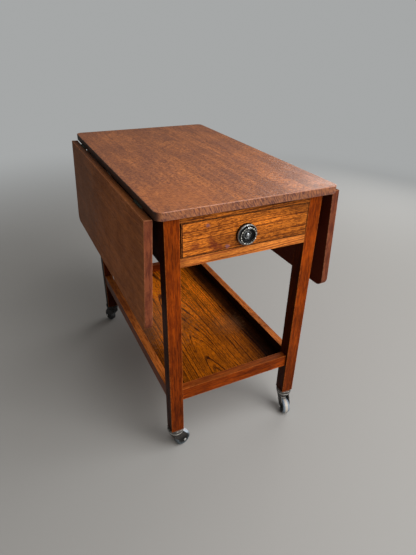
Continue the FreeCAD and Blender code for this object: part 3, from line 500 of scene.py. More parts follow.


# --- Legs, aprons and rails -----------------------------------------------------------
# Square straight legs with tenoned rails, stained a deep orange brown. The sides that face
# away from the light, under the leaves, and the rear legs and rails carry painted shade.

FRAME_FINISH = dict(pale=(0.31, 0.050, 0.002), deep=(0.10, 0.012, 0.0015),
                    dark=(0.022, 0.004, 0.002), stain=(0.09, 0.013, 0.002),
                    bare=(0.58, 0.165, 0.030), end_pale=(0.28, 0.06, 0.01),
                    end_deep=(0.08, 0.012, 0.003), under_shade=(0.10, 0.015, 0.004), rings=0.22,
                    ticks=0.65, bands=0.35, blotches=0.10, patches=0.45, mottle=0.18, flecks=0.3,
                    pores=0.7, wear=0.4, wear_width=0.0022, rough=0.38, gloss=0.05, under=0.6,
                    over=0.0, ring_line=0.5, tick_width=0.0030, tick_length=0.035,
                    end_stretch=(300, 0, 55))
SIDE_FINISH = dict(FRAME_FINISH, over=0.9)
CROSS_FINISH = dict(FRAME_FINISH, over=0.32, wear=0.35)
RAIL_LOG = dict(heart=(0.03, 0, 0.06), lean=(0.01, 0, 0.01), ring_width=0.006, wander=0.015)
# Painted shade: each leg's tone, darkest for the rear legs, which lie in shade.
LEG_PAINTED_SHADE = {"front_left": 0.90, "front_right": 1.0, "rear_left": 0.25, "rear_right": 0.6}
# Painted shade: how dark the side rails grow towards the rear, darkest on the left, under the
# leaf.
REAR_PAINTED_SHADE = {"left": 0.35, "right": 0.8}
# Greyish: dust and painted sheen on the outer faces of the lower side rails.
DUST_AND_SHEEN = (0.20, 0.12, 0.095)
DARK_OAK = (0.07, 0.012, 0.003)
# Each leg darkens towards the bottom, and its left face is darkened as painted shade.
for number, (corner, tone) in enumerate(LEG_PAINTED_SHADE.items()):
    dress_in_oak("leg_" + corner, "z", FRAME_FINISH, heart=(0.05, 0, 0.03), lean=(0.01, 0, 0.008),
                 ring_width=0.006, wander=0.015, seed=20.0 + number,
                 shades=[(2, 0.05, 0.65, 0.70 * tone, 1.14 * tone)],
                 faces=[((-1, 0, 0), GRIME_AND_SHADE, 0.75)])
# Inner faces, and the aprons' outer faces, are darkened as painted shade.
for number, (side, sign) in enumerate(SIDES):
    for kind in ("side_apron", "shelf_side_rail", "drawer_runner", "drawer_kicker"):
        outer_look = (GRIME_AND_SHADE, 0.8) if kind == "side_apron" else (DUST_AND_SHEEN, 0.5)
        dress_in_oak(side + "_" + kind, "y", SIDE_FINISH, **RAIL_LOG, seed=30.0 + number,
                     shades=[(1, -0.10, 0.33, 1.0, REAR_PAINTED_SHADE[side])],
                     faces=[((-sign, 0, 0), GRIME_AND_SHADE, 0.9), ((sign, 0, 0), *outer_look)])
for number, rail in enumerate(("rear_apron", "shelf_rear_rail", "shelf_front_rail",
                               "drawer_stops")):
    dress_in_oak(rail, "x", CROSS_FINISH, **RAIL_LOG, seed=40.0 + number,
                 faces=[((0, 0, 1), DARK_OAK, 0.4)])


# --- Drawer ---------------------------------------------------------------------------
# A dovetailed box with a brighter oak front, running under the top between two rails of
# the same oak. Old spills have left small purple and red stains on the front.

DRAWER_FINISH = dict(FRAME_FINISH, pale=(0.82, 0.232, 0.024), deep=(0.11, 0.018, 0.004),
                     stain=(0.20, 0.032, 0.008), rings=1.6, ticks=0.70, bands=0.3, patches=0.2,
                     mottle=0.2, gloss=0.08, ring_line=0.42, tick_width=0.0020,
                     tick_length=0.0105)
BOTTOM_RAIL_FINISH = dict(DRAWER_FINISH, pale=(0.66, 0.21, 0.034), deep=(0.24, 0.05, 0.012),
                          ticks=0.5)
LINING_FINISH = dict(DRAWER_FINISH, pale=(0.45, 0.27, 0.13), deep=(0.34, 0.18, 0.08),
                     stain=(0.30, 0.16, 0.07), dark=(0.15, 0.07, 0.03), gloss=0.2, rough=0.6)
PURPLE = (0.22, 0.10, 0.12)
RED = (0.16, 0.025, 0.010)
SPILLS = [(-0.095, 0.648, 0.0055, PURPLE, 0.8), (-0.047, 0.592, 0.006, PURPLE, 0.8),
          (-0.080, 0.598, 0.012, RED, 0.7), (-0.088, 0.612, 0.010, RED, 0.6),
          (-0.066, 0.594, 0.008, RED, 0.7), (-0.122, 0.606, 0.012, RED, 0.6)]
front_low, front_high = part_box("drawer_front")
# Dark lines along the front's edges are dirt and painted shade in the gaps around it; the front is
# lighter to the left and towards the top.
dress_in_oak("drawer_front", "x", DRAWER_FINISH, heart=(0, 0, 0.08), lean=(0.02, 0, 0.02),
             ring_width=0.0052, wander=0.03, seed=54.0,
             grime=[(0, front_low.x, 0.0042), (0, front_high.x, 0.0018),
                    (2, front_high.z, 0.0026), (2, front_low.z, 0.0032)],
             shades=[(0, -0.15, 0.15, 1.14, 0.74), (2, 0.585, 0.640, 0.84, 1.03)],
             spots=[((x, front_low.y, z), *rest) for x, z, *rest in SPILLS])
DRAWER_RAIL_LOG = dict(heart=(0, 0, 0.03), lean=(0, 0, 0.05), ring_width=0.006, wander=0.02)
dress_in_oak("drawer_bottom_rail", "x", BOTTOM_RAIL_FINISH, **DRAWER_RAIL_LOG, seed=52.0)
# The top rail darkens towards the top, as painted shadow under the top's overhang.
dress_in_oak("drawer_top_rail", "x", DRAWER_FINISH, **DRAWER_RAIL_LOG, seed=53.0,
             shades=[(2, 0.664, 0.678, 0.85, 0.42)])
for number, piece in enumerate(("drawer_left_side", "drawer_right_side", "drawer_bottom")):
    dress_in_oak(piece, "y", LINING_FINISH, seed=60.0 + number)
dress_in_oak("drawer_back", "x", LINING_FINISH, seed=64.0)


# --- Tray shelf -----------------------------------------------------------------------
# A thin board with an arched figure, set into the shelf rails from below. Painted shadow
# darkens it along its sides, and it grows darker towards its near end.

SHELF_FINISH = dict(FRAME_FINISH, pale=(0.80, 0.195, 0.003), deep=(0.05, 0.010, 0.002),
                    stain=(0.20, 0.045, 0.006), rings=1.7, ticks=0.50, patches=0.2, bands=0.3,
                    gloss=0.03, tick_width=0.0024, tick_length=0.012)
# Of the two patches, the right one is dust and painted sheen, and the left one painted shade and
# dust.
dress_in_oak("shelf_board", "y", SHELF_FINISH, heart=(-0.025, 0, -0.05), lean=(0, 0, -0.065),
             ring_width=0.0052, wander=0.035, seed=71.0,
             spots=[((0.095, -0.10, 0.187), 0.06, (0.20, 0.10, 0.05), 0.30),
                    ((-0.12, 0.03, 0.187), 0.17, (0.20, 0.115, 0.075), 0.40)],
             shades=[(1, -0.30, 0.12, 0.52, 1.78), (0, 0.095, 0.138, 1.0, 0.04),
                     (0, -0.150, -0.110, 0.4, 1.0)])


# --- Ring pull ------------------------------------------------------------------------
# A cast pewter rose with a rolled rim and a stepped boss, held by one domed bolt. A
# beaded ring hangs on two pins from a lug at its top.

MM = 0.001
SMOOTH_BELOW = math.radians(40)
GRIME_BLUR = 0.14
SCRATCHES = (900.0, 900.0, 120.0)
PITS = 500.0


def worn_metal(name, bright, dull, metallic, rough, scale, clean_below, raised=None):
    """Old metal: bright where it is clean or stands proud, and dull with grime elsewhere.

    Grime lies where a noise of this scale is above clean_below. raised is (point, direction,
    from, to): metal that lies further than this from the point is rubbed bright.
    """
    material, net, shader = new_finish(name)
    place = net.add("ShaderNodeTexCoord").outputs["Object"]
    grime = net.step(net.noise(place, scale, 3.0, 0.6), clean_below - GRIME_BLUR,
                     clean_below + GRIME_BLUR)
    if raised:
        point, direction, start, end = raised
        proud = net.vector("DOT_PRODUCT", net.vector("SUBTRACT", place, tuple(point)), direction)
        grime = net.math("MAXIMUM", net.step(proud, start, end, 1.0, 0.0),
                         net.math("MULTIPLY", grime, 0.8))
    net.join(net.mix(grime, bright, dull), shader, "Base Color")
    scratches = net.noise(net.vector("MULTIPLY", place, SCRATCHES), 1.0, 2.0, 0.6)
    scratched = net.math("MULTIPLY_ADD", net.math("ADD", grime, scratches), 0.15, rough - 0.1)
    net.join(scratched, shader, "Roughness")
    shader.inputs["Metallic"].default_value = metallic
    bump = net.add("ShaderNodeBump", Height=net.noise(place, PITS, 2.0, 0.6), Strength=0.25,
                   Distance=0.0004)
    net.join(bump.outputs[0], shader, "Normal")
    return material


def turned(profile, sides, closed=False):
    """A shape of revolution about Z through (radius, height) points in millimetres."""
    shape = bmesh.new()
    rings = []
    for radius, height in profile:
        count = sides if radius else 1
        angles = [2 * math.pi * index / sides for index in range(count)]
        rings.append([shape.verts.new((radius * MM * math.cos(angle),
                                       radius * MM * math.sin(angle), height * MM))
                      for angle in angles])
    pairs = list(zip(rings, rings[1:]))
    if closed:
        pairs.append((rings[-1], rings[0]))
    for lower, upper in pairs:
        for index in range(sides):
            after = (index + 1) % sides
            corners = [lower[index % len(lower)], lower[after % len(lower)],
                       upper[after % len(upper)], upper[index % len(upper)]]
            shape.faces.new(list(dict.fromkeys(corners)))
    bmesh.ops.recalc_face_normals(shape, faces=shape.faces)
    return shape


def bar(outline, half_width):
    """A bar along X whose end is the outline of (y, z) points in millimetres."""
    shape = bmesh.new()
    ends = [[shape.verts.new((x * MM, y * MM, z * MM)) for y, z in outline]
            for x in (-half_width, half_width)]
    for index in range(len(outline)):
        after = (index + 1) % len(outline)
        shape.faces.new([ends[0][index], ends[0][after], ends[1][after], ends[1][index]])
    for end in ends:
        shape.faces.new(end)
    bmesh.ops.recalc_face_normals(shape, faces=shape.faces)
    return shape


def place_piece(name, shapes, matrix, material, body, replaced=()):
    """Joins bmesh shapes into one finished piece in its place on a body."""
    mesh = bpy.data.meshes.new(name)
    whole = bmesh.new()
    for shape in shapes:
        part = bpy.data.meshes.new(name + "_part")
        shape.to_mesh(part)
        shape.free()
        whole.from_mesh(part)
        bpy.data.meshes.remove(part)
    whole.to_mesh(mesh)
    whole.free()
    mesh.transform(matrix)
    mesh.shade_smooth()
    mesh.set_sharp_from_angle(angle=SMOOTH_BELOW)
    mesh.materials.append(material)
    piece = bpy.data.objects.new(name, mesh)
    scene.collection.objects.link(piece)
    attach(piece, body)
    if replaced:
        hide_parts(*replaced)


plate_low, plate_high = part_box("pull_backplate")
PULL_PLACE = Vector(((plate_low.x + plate_high.x) / 2, plate_high.y,
                     (plate_low.z + plate_high.z) / 2))
OUT_OF_FRONT = Matrix.Translation(PULL_PLACE) @ Matrix.Rotation(math.pi / 2, 4, "X")
OUTWARDS = (0, -1, 0)
ROSE = [(0, 0.02), (24.4, 0.02), (24.5, 3.6), (24.3, 5.4), (23.9, 7.4), (23.2, 8.6), (22.4, 9.0),
        (21.6, 8.7), (20.9, 7.6), (20.5, 6.2), (20.0, 5.3), (19.2, 4.9), (15.6, 4.7), (15.1, 5.3),
        (14.4, 5.5), (13.7, 5.3), (13.2, 4.7), (10.8, 4.8), (10.1, 5.6), (9.5, 6.9), (8.9, 7.5),
        (8.2, 7.5), (7.5, 6.7), (7.0, 5.8), (5.5, 5.7), (4.9, 6.8), (4.4, 7.62), (0, 7.62)]
ROSE_SIDES = 72
PIVOT_UP = 16.8
PIVOT_OUT = 11.6
LUG_HALF_WIDTH = 3.5
LUG_ROUND = 3.0
LUG_FOOT = 4.0
lug_outline = [(PIVOT_UP - LUG_ROUND, LUG_FOOT), (PIVOT_UP + LUG_ROUND, LUG_FOOT)]
for degrees in range(0, 181, 20):
    lug_outline.append((PIVOT_UP + LUG_ROUND * math.cos(math.radians(degrees)),
                        PIVOT_OUT + LUG_ROUND * math.sin(math.radians(degrees))))
rose_metal = worn_metal("rubbed pewter", bright=(0.80, 0.82, 0.80), dull=(0.022, 0.022, 0.022),
                        metallic=0.9, rough=0.34, scale=420.0, clean_below=0.42,
                        raised=(PULL_PLACE, OUTWARDS, 5.9 * MM, 7.0 * MM))
place_piece("pull_rose", [turned(ROSE, ROSE_SIDES), bar(lug_outline, LUG_HALF_WIDTH)],
            OUT_OF_FRONT, rose_metal, "drawer", ["pull_backplate"])
dress("pull_bolt", worn_metal("bolt pewter", bright=(0.62, 0.64, 0.66), dull=(0.04, 0.04, 0.038),
                              metallic=0.9, rough=0.30, scale=420.0, clean_below=0.6,
                              raised=(PULL_PLACE, OUTWARDS, 8.6 * MM, 10.0 * MM)))


def geometry_group(name, inputs):
    """An empty Geometry Nodes tree with named inputs, after the mesh that comes in."""
    tree = bpy.data.node_groups.new(name, "GeometryNodeTree")
    for direction in ("INPUT", "OUTPUT"):
        tree.interface.new_socket("Geometry", in_out=direction, socket_type="NodeSocketGeometry")
    for label, kind, default in inputs:
        socket = tree.interface.new_socket(label, in_out="INPUT", socket_type="NodeSocket" + kind)
        if default is not None:
            socket.default_value = default
    return tree, tree.nodes.new("NodeGroupInput").outputs, tree.nodes.new("NodeGroupOutput").inputs


def finish_instances(net, instances, material, out):
    """Ends a tree: its instances become one solid mesh with its material."""
    solid = net.add("GeometryNodeRealizeInstances", Geometry=instances).outputs[0]
    finish = net.add("GeometryNodeSetMaterial", Geometry=solid, Material=material)
    net.tree.links.new(finish.outputs[0], out[0])


def build_beads():
    """Equal beads along an arc about Z, long way round the arc."""
    tree, given, out = geometry_group(
        "beads", [("Arc Radius", "Float", 0.018), ("Start", "Float", 0.0), ("Sweep", "Float", 6.0),
                  ("Count", "Int", 17), ("Bead Radius", "Float", 0.002),
                  ("Bead Length", "Float", 0.003), ("Material", "Material", None)])
    net = Network(tree)
    arc = net.add("GeometryNodeCurveArc", Resolution=given["Count"], Radius=given["Arc Radius"],
                  Start_Angle=given["Start"], Sweep_Angle=given["Sweep"])
    beads = net.add("GeometryNodeCurveToPoints", {"mode": "EVALUATED"}, Curve=arc.outputs[0])
    ball = net.add("GeometryNodeMeshUVSphere", Segments=14, Rings=8, Radius=1.0)
    size = net.combined(given["Bead Radius"], given["Bead Radius"], given["Bead Length"])
    strung = net.add("GeometryNodeInstanceOnPoints", Points=beads.outputs["Points"],
                     Instance=ball.outputs["Mesh"], Rotation=beads.outputs["Rotation"],
                     Scale=size)
    finish_instances(net, strung.outputs[0], given["Material"], out)
    return tree


def grown(name, base, tree, values):
    """The plain mesh that a Geometry Nodes tree makes from a base mesh."""
    holder = bpy.data.objects.new(name, base)
    scene.collection.objects.link(holder)
    modifier = holder.modifiers.new(name, "NODES")
    modifier.node_group = tree
    for item in tree.interface.items_tree:
        if item.in_out == "INPUT" and item.name in values:
            modifier[item.identifier] = values[item.name]
    result = holder.evaluated_get(bpy.context.evaluated_depsgraph_get())
    mesh = bpy.data.meshes.new_from_object(result)
    holder.modifiers.clear()
    bpy.data.objects.remove(holder)
    return mesh


RING_RADIUS = 18.3
RING_WIRE = 1.5
RING_STEPS = 64
WIRE_SIDES = 12
RING_GAP = math.radians(13.5)
RING_SAG = 1.5
BEAD_RADIUS = 2.2
BEAD_LENGTH = 2.4
BEAD_COUNT = 18
BEAD_MARGIN = math.radians(7)
PIN_RADIUS = 1.2
PIN_INNER = 0.6
PIN_SIDES = 12


def bent_wire(start, sweep):
    """The ring's round wire along its arc about Z, closed at both ends."""
    shape = bmesh.new()
    hoops = []
    for step in range(RING_STEPS + 1):
        along = start + sweep * step / RING_STEPS
        hoop = []
        for side in range(WIRE_SIDES):
            around = 2 * math.pi * side / WIRE_SIDES
            reach = (RING_RADIUS + RING_WIRE * math.cos(around)) * MM
            hoop.append(shape.verts.new((reach * math.cos(along), reach * math.sin(along),
                                         RING_WIRE * math.sin(around) * MM)))
        hoops.append(hoop)
    for before, after in zip(hoops, hoops[1:]):
        for index in range(WIRE_SIDES):
            following = (index + 1) % WIRE_SIDES
            shape.faces.new([before[index], before[following], after[following], after[index]])
    shape.faces.new(hoops[0])
    shape.faces.new(hoops[-1])
    bmesh.ops.recalc_face_normals(shape, faces=shape.faces)
    return shape


ring_metal = worn_metal("ring pewter", bright=(0.78, 0.76, 0.68), dull=(0.030, 0.029, 0.027),
                        metallic=0.85, rough=0.30, scale=150.0, clean_below=0.46,
                        raised=(PULL_PLACE, OUTWARDS, 12.4 * MM, 13.9 * MM))
arc_start = math.pi / 2 + RING_GAP
arc_sweep = 2 * (math.pi - RING_GAP)
bead_mesh = grown("beads", bpy.data.meshes.new("beads"), build_beads(),
                  {"Arc Radius": RING_RADIUS * MM, "Start": arc_start + BEAD_MARGIN,
                   "Sweep": arc_sweep - 2 * BEAD_MARGIN, "Count": BEAD_COUNT,
                   "Bead Radius": BEAD_RADIUS * MM, "Bead Length": BEAD_LENGTH * MM,
                   "Material": ring_metal})
bead_shape = bmesh.new()
bead_shape.from_mesh(bead_mesh)
ring_shapes = [bent_wire(arc_start, arc_sweep), bead_shape]
pin_reach = RING_RADIUS * math.sin(RING_GAP)
pin_height = RING_RADIUS * math.cos(RING_GAP) * MM
for sign in (-1, 1):
    pin = turned([(0, PIN_INNER), (PIN_RADIUS, PIN_INNER), (PIN_RADIUS, pin_reach),
                  (0, pin_reach)], PIN_SIDES)
    pin.transform(Matrix.Translation((0, pin_height, 0))
                  @ Matrix.Rotation(sign * math.pi / 2, 4, "Y"))
    ring_shapes.append(pin)
ring_place = OUT_OF_FRONT @ Matrix.Translation((0, -RING_SAG * MM, PIVOT_OUT * MM))
place_piece("pull_beaded_ring", ring_shapes, ring_place, ring_metal, "pull_ring",
            ["pull_ring"])


# --- Screws ---------------------------------------------------------------------------
# Domed slotted screws, driven by hand, so that no two slots line up. They hold the hinge
# flaps and the feet of the stays.

SLOT_SHARE = 0.24
SCREW_SMOOTH_BELOW = math.radians(30)
screw_metal = worn_metal("old screws", bright=(0.20, 0.19, 0.16), dull=(0.03, 0.028, 0.022),
                         metallic=0.8, rough=0.42, scale=700.0, clean_below=0.5)


def build_screws():
    """A slotted head on every point of a mesh, standing along the point's facing."""
    tree, given, out = geometry_group(
        "screw heads", [("Head Radius", "Float", 0.0032), ("Head Height", "Float", 0.0008),
                        ("Slot Width", "Float", 0.0007), ("Seed", "Int", 1),
                        ("Material", "Material", None)])
    net = Network(tree)
    radius, height = given["Head Radius"], given["Head Height"]
    ball = net.add("GeometryNodeMeshUVSphere", Segments=20, Rings=8, Radius=1.0)
    dome = net.add("GeometryNodeTransform", Geometry=ball.outputs["Mesh"],
                   Scale=net.combined(radius, radius, height))
    slot_size = net.combined(net.math("MULTIPLY", radius, 3.0), given["Slot Width"], height)
    slot = net.add("GeometryNodeMeshCube", Size=slot_size)
    slot = net.add("GeometryNodeTransform", Geometry=slot.outputs["Mesh"],
                   Translation=net.combined(0.0, 0.0, height))
    head = net.add("GeometryNodeMeshBoolean", {"operation": "DIFFERENCE"}, _0=dome.outputs[0],
                   _1=slot.outputs[0])
    facing = net.add("GeometryNodeInputNamedAttribute", {"data_type": "FLOAT_VECTOR"},
                     Name="facing")
    stand = net.add("FunctionNodeAlignRotationToVector", {"axis": "Z"}, Vector=facing.outputs[0])
    spin = net.add("FunctionNodeRandomValue", {"data_type": "FLOAT"}, Seed=given["Seed"],
                   _3=math.pi)
    turn = net.add("FunctionNodeAxisAngleToRotation", Axis=(0, 0, 1), Angle=spin.outputs[1])
    rotation = net.add("FunctionNodeRotateRotation", {"rotation_space": "LOCAL"},
                       Rotation=stand.outputs[0], Rotate_By=turn.outputs[0])
    driven = net.add("GeometryNodeInstanceOnPoints", Points=given["Geometry"],
                     Instance=head.outputs[0], Rotation=rotation.outputs[0])
    finish_instances(net, driven.outputs[0], given["Material"], out)
    return tree


screw_tree = build_screws()


def drive_screws(name, body, places, radius, height, seed):
    """places are (point, facing) in metres."""
    base = bpy.data.meshes.new(name)
    base.from_pydata([tuple(point) for point, facing in places], [], [])
    facings = base.attributes.new("facing", "FLOAT_VECTOR", "POINT")
    for item, (point, facing) in zip(facings.data, places):
        item.vector = facing
    mesh = grown(name, base, screw_tree,
                 {"Head Radius": radius, "Head Height": height, "Slot Width": radius * SLOT_SHARE,
                  "Seed": seed, "Material": screw_metal})
    mesh.shade_smooth()
    mesh.set_sharp_from_angle(angle=SCREW_SMOOTH_BELOW)
    piece = bpy.data.objects.new(name, mesh)
    scene.collection.objects.link(piece)
    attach(piece, body)


# --- Hinges ---------------------------------------------------------------------------
# Two butt hinges to each leaf, let in flush, their brass gone green black. Each flap has
# three screws, the middle one further from the pin.

HINGE_CENTRE_Y = 0.260
HINGE_SCREW_PITCH = 0.0145
HINGE_SCREW_NEAR = 0.013
HINGE_SCREW_FAR = 0.019
HINGE_SCREW_RADIUS = 0.0031
HINGE_SCREW_HEIGHT = 0.0007
DOWNWARDS = Vector((0, 0, -1))
hinge_brass = worn_metal("tarnished brass", bright=(0.11, 0.12, 0.075),
                         dull=(0.022, 0.030, 0.024), metallic=0.5, rough=0.5, scale=260.0,
                         clean_below=0.45)


def let_down(sign, points):
    """Points under a level leaf and their facing, moved to the hanging leaf."""
    pin = Vector((sign * HINGE_X, 0, HINGE_Z))
    fold = (Matrix.Translation(pin) @ Matrix.Rotation(sign * LEAF_FOLD, 4, "Y")
            @ Matrix.Translation(-pin))
    return [(fold @ point, fold.to_3x3() @ DOWNWARDS) for point in points]


for side, sign in SIDES:
    for kind in ("hinge_top_flaps", "hinge_leaf_flaps", "hinge_pins"):
        dress(side + "_" + kind, hinge_brass)
    on_top, on_leaf = [], []
    for centre in (-HINGE_CENTRE_Y, HINGE_CENTRE_Y):
        for row, out in ((-1, HINGE_SCREW_NEAR), (0, HINGE_SCREW_FAR), (1, HINGE_SCREW_NEAR)):
            y = centre + row * HINGE_SCREW_PITCH
            on_top.append((Vector((sign * (HINGE_X - out), y, BOARD_UNDER)), DOWNWARDS))
            on_leaf.append(Vector((sign * (HINGE_X + out), y, BOARD_UNDER)))
    drive_screws(side + "_hinge_top_screws", "carcase", on_top,
                 HINGE_SCREW_RADIUS, HINGE_SCREW_HEIGHT, seed=3)
    drive_screws(side + "_hinge_leaf_screws", side + "_leaf",
                 let_down(sign, on_leaf), HINGE_SCREW_RADIUS, HINGE_SCREW_HEIGHT, seed=5)


# --- Folding stays --------------------------------------------------------------------
# Pressed steel links between a foot on each apron and a foot under each leaf, dull and
# lightly spotted with rust. Two screws hold each foot.

FOOT_THICKNESS = 0.002
FOOT_SCREW_INSET = 0.0062
FOOT_SCREW_OFF_CENTRE = 0.0078
LEAF_FOOT_MIDDLE = 0.060
STAY_SCREW_RADIUS = 0.0026
STAY_SCREW_HEIGHT = 0.0006
stay_steel = worn_metal("spotted steel", bright=(0.36, 0.35, 0.33), dull=(0.13, 0.10, 0.075),
                        metallic=0.85, rough=0.42, scale=160.0, clean_below=0.62)
for side, sign in SIDES:
    for kind in ("stay_arm", "stay_link", "stay_bracket", "stay_leaf_bracket"):
        dress(side + "_" + kind, stay_steel)
    low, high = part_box(side + "_stay_bracket")
    foot_face = low.x + FOOT_THICKNESS if sign > 0 else high.x - FOOT_THICKNESS
    leaf_foot_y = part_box(side + "_stay_leaf_bracket")[1].y - FOOT_SCREW_INSET
    on_apron, on_leaf = [], []
    for off in (-FOOT_SCREW_OFF_CENTRE, FOOT_SCREW_OFF_CENTRE):
        on_apron.append((Vector((foot_face, low.y + FOOT_SCREW_INSET, (low.z + high.z) / 2 + off)),
                         Vector((sign, 0, 0))))
        on_leaf.append(Vector((sign * (HINGE_X + LEAF_FOOT_MIDDLE + off), leaf_foot_y,
                               BOARD_UNDER - FOOT_THICKNESS)))
    drive_screws(side + "_stay_apron_screws", "carcase", on_apron,
                 STAY_SCREW_RADIUS, STAY_SCREW_HEIGHT, seed=7)
    drive_screws(side + "_stay_leaf_screws", side + "_leaf",
                 let_down(sign, on_leaf), STAY_SCREW_RADIUS, STAY_SCREW_HEIGHT, seed=9)


# --- Castors --------------------------------------------------------------------------
# A steel cap and a pressed raceway on the foot of each leg, a dark pressed fork, and a
# black hub with a scuffed rubber tyre, riveted on its axle. The rear left one has painted shade.

CASTOR_TURNS = {"front_left": 16.0, "front_right": -104.0, "rear_left": 108.0, "rear_right": 104.0}
TRAIL = 20.0
WHEEL_RADIUS = 22.5
RACE_LOW = 63.5
RACE_HIGH = 67.0
CAP_TOP = 78.0
CAP = [(0, RACE_HIGH), (20.0, RACE_HIGH), (20.6, RACE_HIGH + 0.6), (21.6, RACE_HIGH + 2.4),
       (22.0, RACE_HIGH + 4.4), (22.0, CAP_TOP - 0.6), (21.4, CAP_TOP - 0.02),
       (0, CAP_TOP - 0.02)]
RACEWAY = [(0, 54.9), (6.6, 54.9), (7.0, 55.4), (7.0, 56.5), (6.4, 56.9), (4.0, 56.9),
           (4.0, RACE_LOW), (19.2, RACE_LOW), (20.2, RACE_LOW + 0.5), (20.5, RACE_LOW + 1.5),
           (20.3, RACE_LOW + 2.7), (19.6, RACE_HIGH), (0, RACE_HIGH)]
TYRE_HALF = [(16.0, 8.5), (17.0, 9.7), (18.2, 10.0), (19.8, 9.5), (21.2, 8.2), (22.1, 6.2),
             (WHEEL_RADIUS, 3.6)]
TYRE = [(radius, -height) for radius, height in TYRE_HALF] + TYRE_HALF[::-1]
HUB_HALF = [(3.05, 10.0), (5.2, 10.0), (6.0, 9.4), (6.6, 7.6), (8.0, 6.6), (11.6, 6.6),
            (13.4, 7.6), (14.6, 8.5), (16.0, 8.5)]
HUB = [(radius, -height) for radius, height in HUB_HALF] + HUB_HALF[::-1]
WEB = [(-12.6, 57.2), (-14.3, 57.2), (-14.3, 49.9), (-1.1, 34.5), (0.1, 35.5), (-12.6, 50.6)]
WEB_HALF_WIDTH = 10.9
RIVET = [(0, 14.4), (4.2, 14.4), (4.0, 15.2), (3.0, 15.9), (1.5, 16.3), (0, 16.4)]
TYRE_SIDES, ROUND_SIDES, RIVET_SIDES = 64, 48, 20
cap_steel = worn_metal("cap plate", bright=(0.40, 0.38, 0.35), dull=(0.10, 0.09, 0.085),
                       metallic=0.8, rough=0.34, scale=200.0, clean_below=0.45)
raceway_steel = worn_metal("raceway plate", bright=(0.66, 0.64, 0.60), dull=(0.05, 0.045, 0.040),
                           metallic=0.95, rough=0.30, scale=180.0, clean_below=0.62,
                           raised=((0, 0, RACE_LOW * MM), (0, 0, 1), -3.0 * MM, 0.0))
fork_steel = worn_metal("fork steel", bright=(0.075, 0.064, 0.057), dull=(0.012, 0.011, 0.011),
                        metallic=0.6, rough=0.40, scale=220.0, clean_below=0.50,
                        raised=((0, 0, 0), (0, 0, 1), 28.0 * MM, 50.0 * MM))
# Painted shade: a darkened copy of the castor steels, for the rear left castor in shade.
shaded_steel = worn_metal("shaded steel", bright=(0.050, 0.048, 0.045), dull=(0.012, 0.012, 0.012),
                        metallic=0.3, rough=0.40, scale=200.0, clean_below=0.4)
rivet_steel = worn_metal("rivet steel", bright=(0.75, 0.74, 0.72), dull=(0.25, 0.23, 0.21),
                         metallic=0.9, rough=0.35, scale=500.0, clean_below=0.6)
hub_black = worn_metal("hub black", bright=(0.10, 0.10, 0.095), dull=(0.010, 0.011, 0.012),
                       metallic=0.1, rough=0.40, scale=330.0, clean_below=0.40)
TREAD_TO, FLANK_FROM = 4.0 * MM, 8.0 * MM
SCUFFS = 500.0
RUBBER_ROUGHNESS = 0.48


def scuffed_rubber(name, centre, axle, tread, flank, floor_shade, darkest_below, lit_above):
    """The worn tread is paler than the flanks, and both are darker near the floor, as painted
    shade.
    """
    material, net, shader = new_finish(name)
    place = net.add("ShaderNodeTexCoord").outputs["Object"]
    scuffs = net.noise(place, SCUFFS, 3.0, 0.6)
    off_centre = net.vector("SUBTRACT", place, tuple(centre))
    across = net.math("ABSOLUTE", net.vector("DOT_PRODUCT", off_centre, tuple(axle)))
    worn = net.step(net.math("MULTIPLY_ADD", scuffs, 0.004, across), TREAD_TO, FLANK_FROM, 1.0,
                    0.0)
    # Painted shade: the rubber darkens towards the floor.
    height = net.math("MULTIPLY_ADD", scuffs, 0.012, net.parts(place)[2])
    floor_shading = net.step(height, darkest_below * MM, lit_above * MM, 1.0, 0.0)
    net.join(net.mix(floor_shading, net.mix(worn, flank, tread), floor_shade), shader, "Base Color")
    shader.inputs["Roughness"].default_value = RUBBER_ROUGHNESS
    bump = net.add("ShaderNodeBump", Height=scuffs, Strength=0.25, Distance=0.0004)
    net.join(bump.outputs[0], shader, "Normal")
    return material


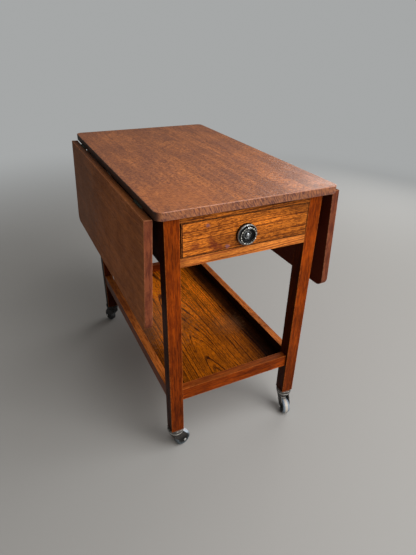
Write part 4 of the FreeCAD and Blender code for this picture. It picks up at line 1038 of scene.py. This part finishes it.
# Lit and shaded copies of one rubber: the front left tyre is brightened as painted highlight, the
# others darker, the rear left darkest, as painted shade.
CASTOR_RUBBER = {
    "front_left": dict(tread=(0.60, 0.61, 0.64), flank=(0.42, 0.48, 0.55),
                       floor_shade=(0.045, 0.060, 0.070), darkest_below=26.0, lit_above=50.0),
    "front_right": dict(tread=(0.52, 0.47, 0.41), flank=(0.19, 0.24, 0.30),
                        floor_shade=(0.05, 0.06, 0.07), darkest_below=6.0, lit_above=30.0),
    "rear_left": dict(tread=(0.16, 0.18, 0.19), flank=(0.10, 0.12, 0.13),
                      floor_shade=(0.02, 0.023, 0.025), darkest_below=20.0, lit_above=46.0),
    "rear_right": dict(tread=(0.50, 0.48, 0.44), flank=(0.30, 0.35, 0.40),
                       floor_shade=(0.05, 0.06, 0.07), darkest_below=16.0, lit_above=40.0)}
QUARTER_TURN = Matrix.Rotation(math.pi / 2, 4, "X")
WEB_FACING = Matrix.Rotation(-math.pi / 2, 4, "Z")
for corner, turn in CASTOR_TURNS.items():
    castor = "castor_" + corner
    fork_body, wheel_body = castor + "_fork", castor + "_wheel"
    leg_x, leg_y = joints[castor + "_swivel"]["pos_m"][:2]
    under_leg = Matrix.Translation((leg_x, leg_y, 0)) @ Matrix.Rotation(math.radians(turn), 4, "Z")
    on_axle = under_leg @ Matrix.Translation((TRAIL * MM, 0, WHEEL_RADIUS * MM)) @ QUARTER_TURN
    rubber = scuffed_rubber(corner.replace("_", " ") + " tyre", on_axle.translation,
                            on_axle.to_3x3().col[2], **CASTOR_RUBBER[corner])
    cap_look, raceway_look, fork_look = cap_steel, raceway_steel, fork_steel
    # The rear left castor's steel is painted dark, as painted shade.
    if corner == "rear_left":
        cap_look = raceway_look = fork_look = shaded_steel
    place_piece(castor + "_cap", [turned(CAP, ROUND_SIDES)], under_leg, cap_look, "carcase",
                [castor + "_mount"])
    place_piece(castor + "_raceway", [turned(RACEWAY, ROUND_SIDES)], under_leg, raceway_look,
                "carcase", [castor + "_mount"])
    dress(castor + "_fork", fork_look)
    place_piece(castor + "_web", [bar(WEB, WEB_HALF_WIDTH)], under_leg @ WEB_FACING, fork_look,
                fork_body)
    ends = [turned(RIVET, RIVET_SIDES), turned(RIVET, RIVET_SIDES)]
    ends[1].transform(Matrix.Rotation(math.pi, 4, "X"))
    place_piece(castor + "_axle_rivets", ends, on_axle, rivet_steel, fork_body)
    place_piece(castor + "_hub", [turned(HUB, ROUND_SIDES, closed=True)], on_axle, hub_black,
                wheel_body, [castor + "_wheel"])
    place_piece(castor + "_rubber", [turned(TYRE, TYRE_SIDES, closed=True)], on_axle, rubber,
                wheel_body, [castor + "_tyre"])
